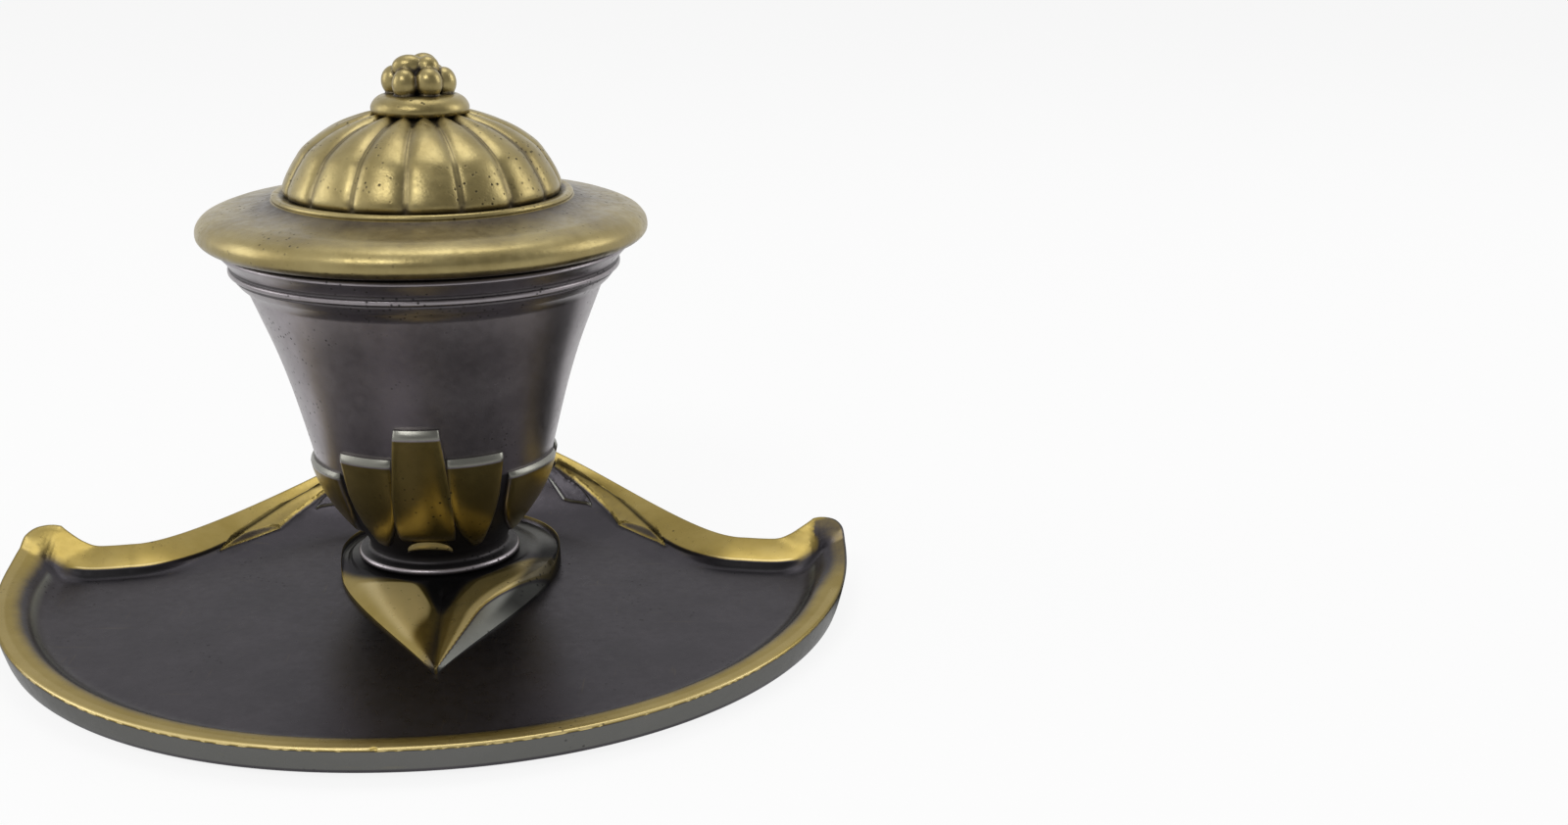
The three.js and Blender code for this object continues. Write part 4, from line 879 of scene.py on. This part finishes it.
PAD_Y, HINGE_Y, HINGE_Z, URN_TOP, PAD_HALF = 36.9, 38.9, 66.45, 66.2, 8.1


def hinge_pad(body):
    """Flat pad behind the rim, its sides and lower end rounded into the wall."""
    wall = lambda level: float(urn_radius(min(level, FLARE_H))) - 1.6
    line = [(wall(47.5), URN_BASE + 47.5), (PAD_Y - 0.5, URN_BASE + 49.7), (PAD_Y - 0.12, URN_BASE + 50.0),
            (PAD_Y, URN_BASE + 50.4), (PAD_Y, 65.6), (PAD_Y - 0.1, 66.0), (PAD_Y - 0.35, URN_TOP), (33.3, URN_TOP),
            (33.3, 62.6), (wall(52.1), 58.6)]
    sides = ((0, 0.4), (0.12, 0.12), (0.4, 0))
    sides = [(x - PAD_HALF, shrink) for x, shrink in sides] + [(PAD_HALF - x, shrink) for x, shrink in sides[::-1]]
    body.loft([[(x, y - (shrink if y > 33.5 else 0), z) for y, z in line] for x, shrink in sides], gold=0.1)


urn = Body()
urn_wall(urn)
staves(urn)
hinge_pad(urn)
urn_piece = urn.make("urn_dressed")
urn_piece.data.materials.append(URN_LIT_PATINA)
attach(urn_piece, "base")
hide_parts("urn")

# ---- deck and well
HOLE_R, DECK_LOW, DECK_MID, DECK_TOP = 18.2, 62.6, 63.2, 64.2
deck = Body()
deck_profile = rounded([[HOLE_R, DECK_MID], [HOLE_R, DECK_LOW], [DECK_R, DECK_LOW], [DECK_R, DECK_TOP],
                        [HOLE_R, DECK_TOP], [HOLE_R, DECK_MID]], 4, 0.25)
grid = turned(deck_profile[:-1], 160)
deck.loft(np.concatenate([grid, grid[:1]]), caps=False)
deck_piece = deck.make("deck_dressed")
finish_normals(deck_piece, SHARP, weld=1e-7)
deck_piece.data.materials.append(BRASS)
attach(deck_piece, "base")
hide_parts("well_deck")

well = Body()
well_profile = rounded([[0.01, 27.2], [14.8, 27.2], [16.0, 28.4], [17.9, 61.8], [17.9, DECK_TOP], [21.5, DECK_TOP],
                        [21.5, 65.6], [20.9, 66.2], [16.1, 66.2], [15.5, 65.6], [13.6, 34.4], [11.56, 31.04],
                        [6.8, 29.72], [0.01, 29.6]], 5, 0.7)
well.loft(turned(well_profile, 128))
well_piece = well.make("well_dressed")
well_piece.data.materials.append(GLASS)
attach(well_piece, "well")
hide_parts("ink_well")

# ---- lid
LID_Z, BRIM_R, BRIM_T, DOME_Z, DOME_H, DOME_R = 66.7, 40.0, 6.0, 75.1, 14.6, 25.9
RIBS, RIB_STEPS = 16, 26
SPIGOT_IN, BEAD_R, BEAD_Z, BEAD_T = 29.6, 26.1, 74.75, 0.6
BRIM = [[0.5, 0], [0.2, 0.08], [0.03, 0.24], [0, 0.42], [0.05, 0.6], [0.2, 0.78], [0.42, 0.9], [0.7, 1]]
DOME = [[0.965, 0.0], [0.957, 0.08], [0.944, 0.15], [0.912, 0.27], [0.862, 0.42], [0.8, 0.57], [0.7, 0.71],
        [0.58, 0.83], [0.43, 0.93], [0.2934, 1.0]]
INNER_DOME = [[0.3, 1], [0.52, 0.92], [0.72, 0.76], [0.87, 0.55], [0.96, 0.3], [1, 0.05]]


def spread(keys, count):
    """A smooth line of count points through evenly weighted keys."""
    keys, at = np.array(keys), np.linspace(0, len(keys) - 1, count)
    return np.stack([curve_through(np.arange(len(keys)), keys[:, k], at) for k in (0, 1)], 1)


def lid_rows():
    """Profile rows as (radius, height, ribbed, gold, recess), from the inner ceiling out to the top."""
    inner_r, inner_h = DOME_R - 2.6, DOME_H - 2.6
    # The inner ceiling and the spigot carry painted shade
    rows = [(inner_r * out, DOME_Z + inner_h * up, False, 0.0, 0.5) for out, up in INNER_DOME]
    # Spigot
    rows += [(r, z, False, gold, deep) for r, z, gold, deep in (
        ((inner_r + SPIGOT_IN) / 2, (LID_Z + DOME_Z) / 2, 0, 0.5), (SPIGOT_IN, LID_Z, 0, 0.5),
        (SPIGOT_IN, 65.1, 0, 0.5), (29.8, 64.9, 0, 0.4), (31.6, 64.9, 0.1, 0.4), (31.8, 65.1, 0.1, 0.5),
        (31.8, LID_Z, 0, 0.8))]
    # Brim: gold brightest round its widest part as a painted highlight, less on top, least on its underside with
    # painted shade there
    for out, up in spread(BRIM, 46):
        gold = 0.98 - 0.3 * float(smooth(up, 0.62, 1.0)) - 0.55 * float(smooth(0.42 - up, 0, 0.36))
        deep = 0.35 * float(smooth(0.22 - up, 0, 0.2))
        rows.append((BRIM_R - BRIM_T * out, LID_Z + BRIM_T * max(up, 0), False, gold, deep))
    # The brim's top runs in to the bead, with less gold and painted shade next to the bead
    rows += [(r, z, False, gold, deep) for r, z, gold, deep in (
        (34.6, 72.86, 0.62, 0), (33.2, 73.05, 0.58, 0), (31.6, 73.25, 0.52, 0), (30.1, 73.5, 0.45, 0.05),
        (28.8, 73.76, 0.36, 0.12), (27.6, 74.05, 0.3, 0.2), (27.0, 74.25, 0.3, 0.4))]
    rows += [(BEAD_R + BEAD_T * math.cos(turn), BEAD_Z + BEAD_T * math.sin(turn), False, 0.95, 0.0)
             for turn in np.linspace(-0.5, 1.75, 10)]
    # Painted shade in the crease under the bead
    rows += [(25.6, 75.3, False, 0.8, 0), (25.3, 75.22, False, 0.5, 0.2), (25.1, 75.2, False, 0.4, 0.45)]
    line = even(spread(DOME, 400) * [DOME_R, DOME_H] + [0, DOME_Z], 96)
    rows += [(r, z, True, 0.7, 0.0) for r, z in line]
    # Painted shade round the finial's foot
    rows.append((4.0, DOME_Z + DOME_H, False, 0.3, 0.6))
    return rows, line


def lid_body():
    """The turned lid with ribs on its dome."""
    rows, line = lid_rows()
    steps = RIBS * RIB_STEPS
    turn = angles(steps)
    share = np.abs(((np.arange(steps) / RIB_STEPS) % 1) - 0.5) * 2
    length = np.concatenate([[0], np.cumsum(np.hypot(*(line[1:] - line[:-1]).T))])
    total = length[-1]
    rings, gold, deep = [], [], []
    k = 0
    for r, z, ribbed, g, s in rows:
        out, high, g, s = (np.full(steps, float(v)) for v in (r, z, g, s))
        if ribbed:
            # Each rib is a lobe with rounded edges and a thin ridge in the groove beside it
            half = math.pi * r / RIBS
            x = share * half
            side, foot = half - x - 0.2, length[k] - 0.15
            top = (total - 0.1 - length[k]) * 0.9 - x + 0.3
            edge = np.minimum(np.minimum(side, foot), top)
            round_off = -0.55 * np.log(sum(np.exp(-np.clip(v, -3, 6) / 0.55) for v in (side, foot, top)))
            lobe = 1 - np.exp(-np.maximum(round_off + 0.25, 0) / 0.62)
            crown = np.clip(1 - (x / half)**2, 0, 1)
            ridge = hill(half - x, 0, 0.24) * smooth(length[k], 0.6, 2.0)
            ridge = ridge * (1 - smooth(length[k], total - 5, total - 3))
            relief = -1.0 + 0.62 * lobe + 0.38 * crown * lobe + 0.4 * ridge
            slope = line[min(k + 1, len(line) - 1)] - line[max(k - 1, 0)]
            slope = slope / np.linalg.norm(slope)
            out, high = out + relief * slope[1], high - relief * slope[0]
            g = 0.4 + 0.58 * lobe * (0.7 + 0.3 * crown) + 0.25 * ridge
            s = np.clip(0.72 * hill(edge, -0.02, 0.2) * (1 - 0.6 * ridge), 0, 1)
            k += 1
        rings.append(np.stack([out * np.sin(turn), -out * np.cos(turn), high], 1))
        gold.append(g)
        deep.append(s)
    body = Body()
    body.loft(rings, np.array(gold), np.array(deep))
    return body


def cut(obj, tools):
    """Takes each of the tools, given as a name and its rings, out of the object."""
    for name, rings in tools:
        body = Body()
        body.loft(rings)
        tool = body.make(name)
        change = obj.modifiers.new("cut", "BOOLEAN")
        change.operation, change.solver, change.object = "DIFFERENCE", "EXACT", tool
        applied(obj)
        bpy.data.objects.remove(tool)


lid_piece = lid_body().make("lid_dressed")
# Room for the knuckles and for the leaf under the brim
BARREL_R, LEAF_FRONT, LEAF_BACK, LEAF_LOW, LEAF_TOP = 2.6, 32.7, 41, 65.7, 67.7
sides = (-PAD_HALF, PAD_HALF)
corners = ((LEAF_FRONT, LEAF_LOW), (LEAF_BACK, LEAF_LOW), (LEAF_BACK, LEAF_TOP), (LEAF_FRONT, LEAF_TOP))
barrel = [[(x, HINGE_Y + BARREL_R * math.cos(t), HINGE_Z + BARREL_R * math.sin(t)) for t in angles(48)] for x in sides]
pocket = [[(x, y, z) for y, z in corners] for x in sides]
cut(lid_piece, [("cut_barrel", barrel), ("cut_pocket", pocket)])
finish_normals(lid_piece, SHARP)
lid_piece.data.materials.clear()
lid_piece.data.materials.append(BRONZE)
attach(lid_piece, "lid")
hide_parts("lid")

# ---- finial
TOP_Z = 89.7


def ball(body, centre, radii, lean=0.0):
    """An ellipsoid, leant about Y."""
    turn = Matrix.Rotation(lean, 3, "Y")
    rows = []
    for polar in np.linspace(0.04, math.pi - 0.04, 14):
        row = [turn @ Vector((radii[0] * math.sin(polar) * math.cos(t), radii[1] * math.sin(polar) * math.sin(t),
                              radii[2] * math.cos(polar))) for t in angles(28)]
        rows.append([(p.x + centre[0], p.y + centre[1], p.z + centre[2]) for p in row])
    body.loft(rows)


lumps = Body()
ball(lumps, (0, 0, TOP_Z + 4.6), (4.2, 4.2, 3.9))
for k, angle in enumerate((-27, 31, 90, 150, 211, 268)):
    t = math.radians(angle)
    size = 2.4 if k % 2 else 2.3
    ball(lumps, (4.3 * math.sin(t), -4.3 * math.cos(t), TOP_Z + 4.7 + 0.25 * (k % 2)), (size, size, 2.75))
for angle, wide, off, high in ((-42, 2.9, 2.3, 7.65), (48, 2.05, 2.5, 7.5), (165, 2.5, 2.2, 7.6)):
    t = math.radians(angle)
    ball(lumps, (off * math.sin(t), -off * math.cos(t), TOP_Z + high), (wide, 2.0, 2.05), -0.1)
collar_profile = rounded([[0.01, -0.9], [7.7, -0.9], [8.5, -0.5], [8.75, 0.2], [8.6, 0.95], [8.1, 1.75], [7.3, 2.4],
                          [6.3, 2.75], [5.2, 2.8], [0.01, 2.8]], 5, 0.8)
lumps.loft(turned([[r, TOP_Z + z] for r, z in collar_profile], 96))
finial_piece = lumps.make("finial_dressed")
shape = finial_piece.modifiers.new("one", "REMESH")
shape.mode = "VOXEL"
shape.voxel_size = 0.00021
easy = finial_piece.modifiers.new("soft", "SMOOTH")
easy.factor = 0.5
easy.iterations = 3
applied(finial_piece)


def paint_finial(obj):
    """Black in the hollows between lumps, gold on their crowns."""
    mesh = obj.data
    count = len(mesh.vertices)
    place = np.empty(count * 3)
    mesh.vertices.foreach_get("co", place)
    place = place.reshape(-1, 3) / MM
    work = bmesh.new()
    work.from_mesh(mesh)
    work.verts.ensure_lookup_table()
    bend = np.zeros(count)
    for vert in work.verts:
        around = [edge.other_vert(vert).co for edge in vert.link_edges]
        if around:
            middle = sum(around, Vector()) / len(around)
            bend[vert.index] = (middle - vert.co).dot(vert.normal) / MM
    work.free()
    # Spread each point's bend over its neighbours
    ends = np.empty(len(mesh.edges) * 2, dtype=np.int64)
    mesh.edges.foreach_get("vertices", ends)
    ends = ends.reshape(-1, 2)
    for _ in range(6):
        total, near = bend.copy(), np.ones(count)
        for here, other in (ends.T, ends.T[::-1]):
            np.add.at(total, here, bend[other])
            np.add.at(near, here, 1)
        bend = total / near
    paint(mesh, np.clip(0.75 - bend * 40, 0, 1), np.clip(bend * 60 - 0.05, 0, 1))
    for polygon in mesh.polygons:
        polygon.use_smooth = True


paint_finial(finial_piece)
finial_piece.data.materials.clear()
finial_piece.data.materials.append(BRONZE)
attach(finial_piece, "lid")
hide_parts("finial")

# ---- carried-over hardware
for look, names in ((BRASS, ("urn_hinge_leaf", "lid_hinge_leaf", "finial_nut")),
                    (STEEL, ("urn_screw", "urn_screw_washer", "urn_leaf_screw_left", "urn_leaf_screw_right",
                             "hinge_pin", "lid_leaf_screw_left", "lid_leaf_screw_right", "finial_stud",
                             "finial_washer"))):
    for name in names:
        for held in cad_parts[name].material_slots:
            held.material = look

# ---- floor, world, lamps, camera
# Camera, mirror and glass rays see a bright floor; only mirror rays see the dark flag at the right of the urn
FLAG_PLACE, FLAG_REACH, GLOW_SHARE = (0.088, 0.022, 0), (0.034, 0.05), 0.88
k = Look(bpy.data.materials.new("pale_floor"))
ray = k.add("LightPath").outputs
off = k.add("VectorMath", k.place, FLAG_PLACE, how="DISTANCE").outputs["Value"]
flag = k.mul(ray["Is Glossy Ray"], k.between(off, *FLAG_REACH, 1.0, 0.0))
seen = k.maths("ADD", ray["Is Camera Ray"], ray["Is Glossy Ray"])
seen = k.maths("ADD", seen, ray["Is Transmission Ray"], clamp=True)
diffuse = k.add("BsdfDiffuse", Color=(0.86, 0.86, 0.86, 1))
glow = k.add("Emission", Color=(1, 1, 1, 1), Strength=k.maths("SUBTRACT", 1.0, flag))
share = k.fma(flag, 0.12, k.mul(seen, GLOW_SHARE))
both = k.add("MixShader", share, diffuse.outputs[0], glow.outputs[0])
k.add("OutputMaterial", both.outputs[0])
floor_mesh = bpy.data.meshes.new("floor")
floor_mesh.from_pydata([(-3, -3, 0), (3, -3, 0), (3, 3, 0), (-3, 3, 0)], [], [(0, 1, 2, 3)])
floor_mesh.materials.append(k.holder)
floor = placed("floor", floor_mesh)

# White for the camera and glass; for mirror rays darker towards the front right, for the rest a soft grey
world = bpy.data.worlds.new("studio")
bpy.context.scene.world = world
k = Look(world, "Generated")
ray = k.add("LightPath").outputs
dim = k.add("VectorMath", k.place, Vector((0.42, -0.86, 0.30)).normalized(), how="DOT_PRODUCT").outputs["Value"]
room = k.mul(ray["Is Glossy Ray"], k.between(dim, 0.35, 0.95, 1.0, 0.22))
seen = k.maths("ADD", ray["Is Camera Ray"], ray["Is Transmission Ray"], clamp=True)
level = k.maths("MAXIMUM", k.maths("MAXIMUM", seen, room), 0.42)
back = k.add("Background", Color=(1, 1, 1, 1), Strength=level)
k.add("OutputWorld", back.outputs[0])

LAMP_TARGET = Vector((0, 0, 0.05))
for name, place, size, power in (("key", (-0.35, -0.75, 0.85), (0.45, 0.3), 3.2),
                                 ("left", (-0.95, 0.05, 0.35), (0.5, 0.6), 2.2),
                                 ("right", (0.95, 0.15, 0.45), (0.4, 0.6), 2.2),
                                 ("top", (0.05, 0.15, 1.0), (0.6, 0.5), 2.4)):
    data = bpy.data.lights.new(name, "AREA")
    data.shape, data.energy = "RECTANGLE", power
    data.size, data.size_y = size
    light = placed(name, data)
    light.location = place
    light.rotation_euler = (LAMP_TARGET - Vector(place)).to_track_quat("-Z", "Y").to_euler()

# The photograph's camera: where it stands, where it looks, and its focal length in pixels
AZIMUTH, YAW, PITCH, ROLL = (math.radians(v) for v in (7.691, 11.068, 16.426, 0.555))
DISTANCE, HEIGHT, FOCAL, WIDTH = 339.12, 132.25, 1904, 1600
data = bpy.data.cameras.new("camera")
data.sensor_width = 36
data.lens = FOCAL / WIDTH * 36
data.clip_start = 0.01
camera = placed("camera", data)
turn = YAW - AZIMUTH
forward = Vector((math.sin(turn) * math.cos(PITCH), math.cos(turn) * math.cos(PITCH), -math.sin(PITCH)))
right = Vector((math.cos(turn), -math.sin(turn), 0))
up = right.cross(forward)
across = right * math.cos(ROLL) + up * math.sin(ROLL)
upward = up * math.cos(ROLL) - right * math.sin(ROLL)
stand = Matrix((across, upward, -forward)).transposed().to_4x4()
stand.translation = Vector((DISTANCE * math.sin(AZIMUTH), -DISTANCE * math.cos(AZIMUTH), HEIGHT)) * MM
camera.matrix_world = stand
bpy.context.scene.camera = camera
bpy.context.scene.view_settings.view_transform = "Standard"
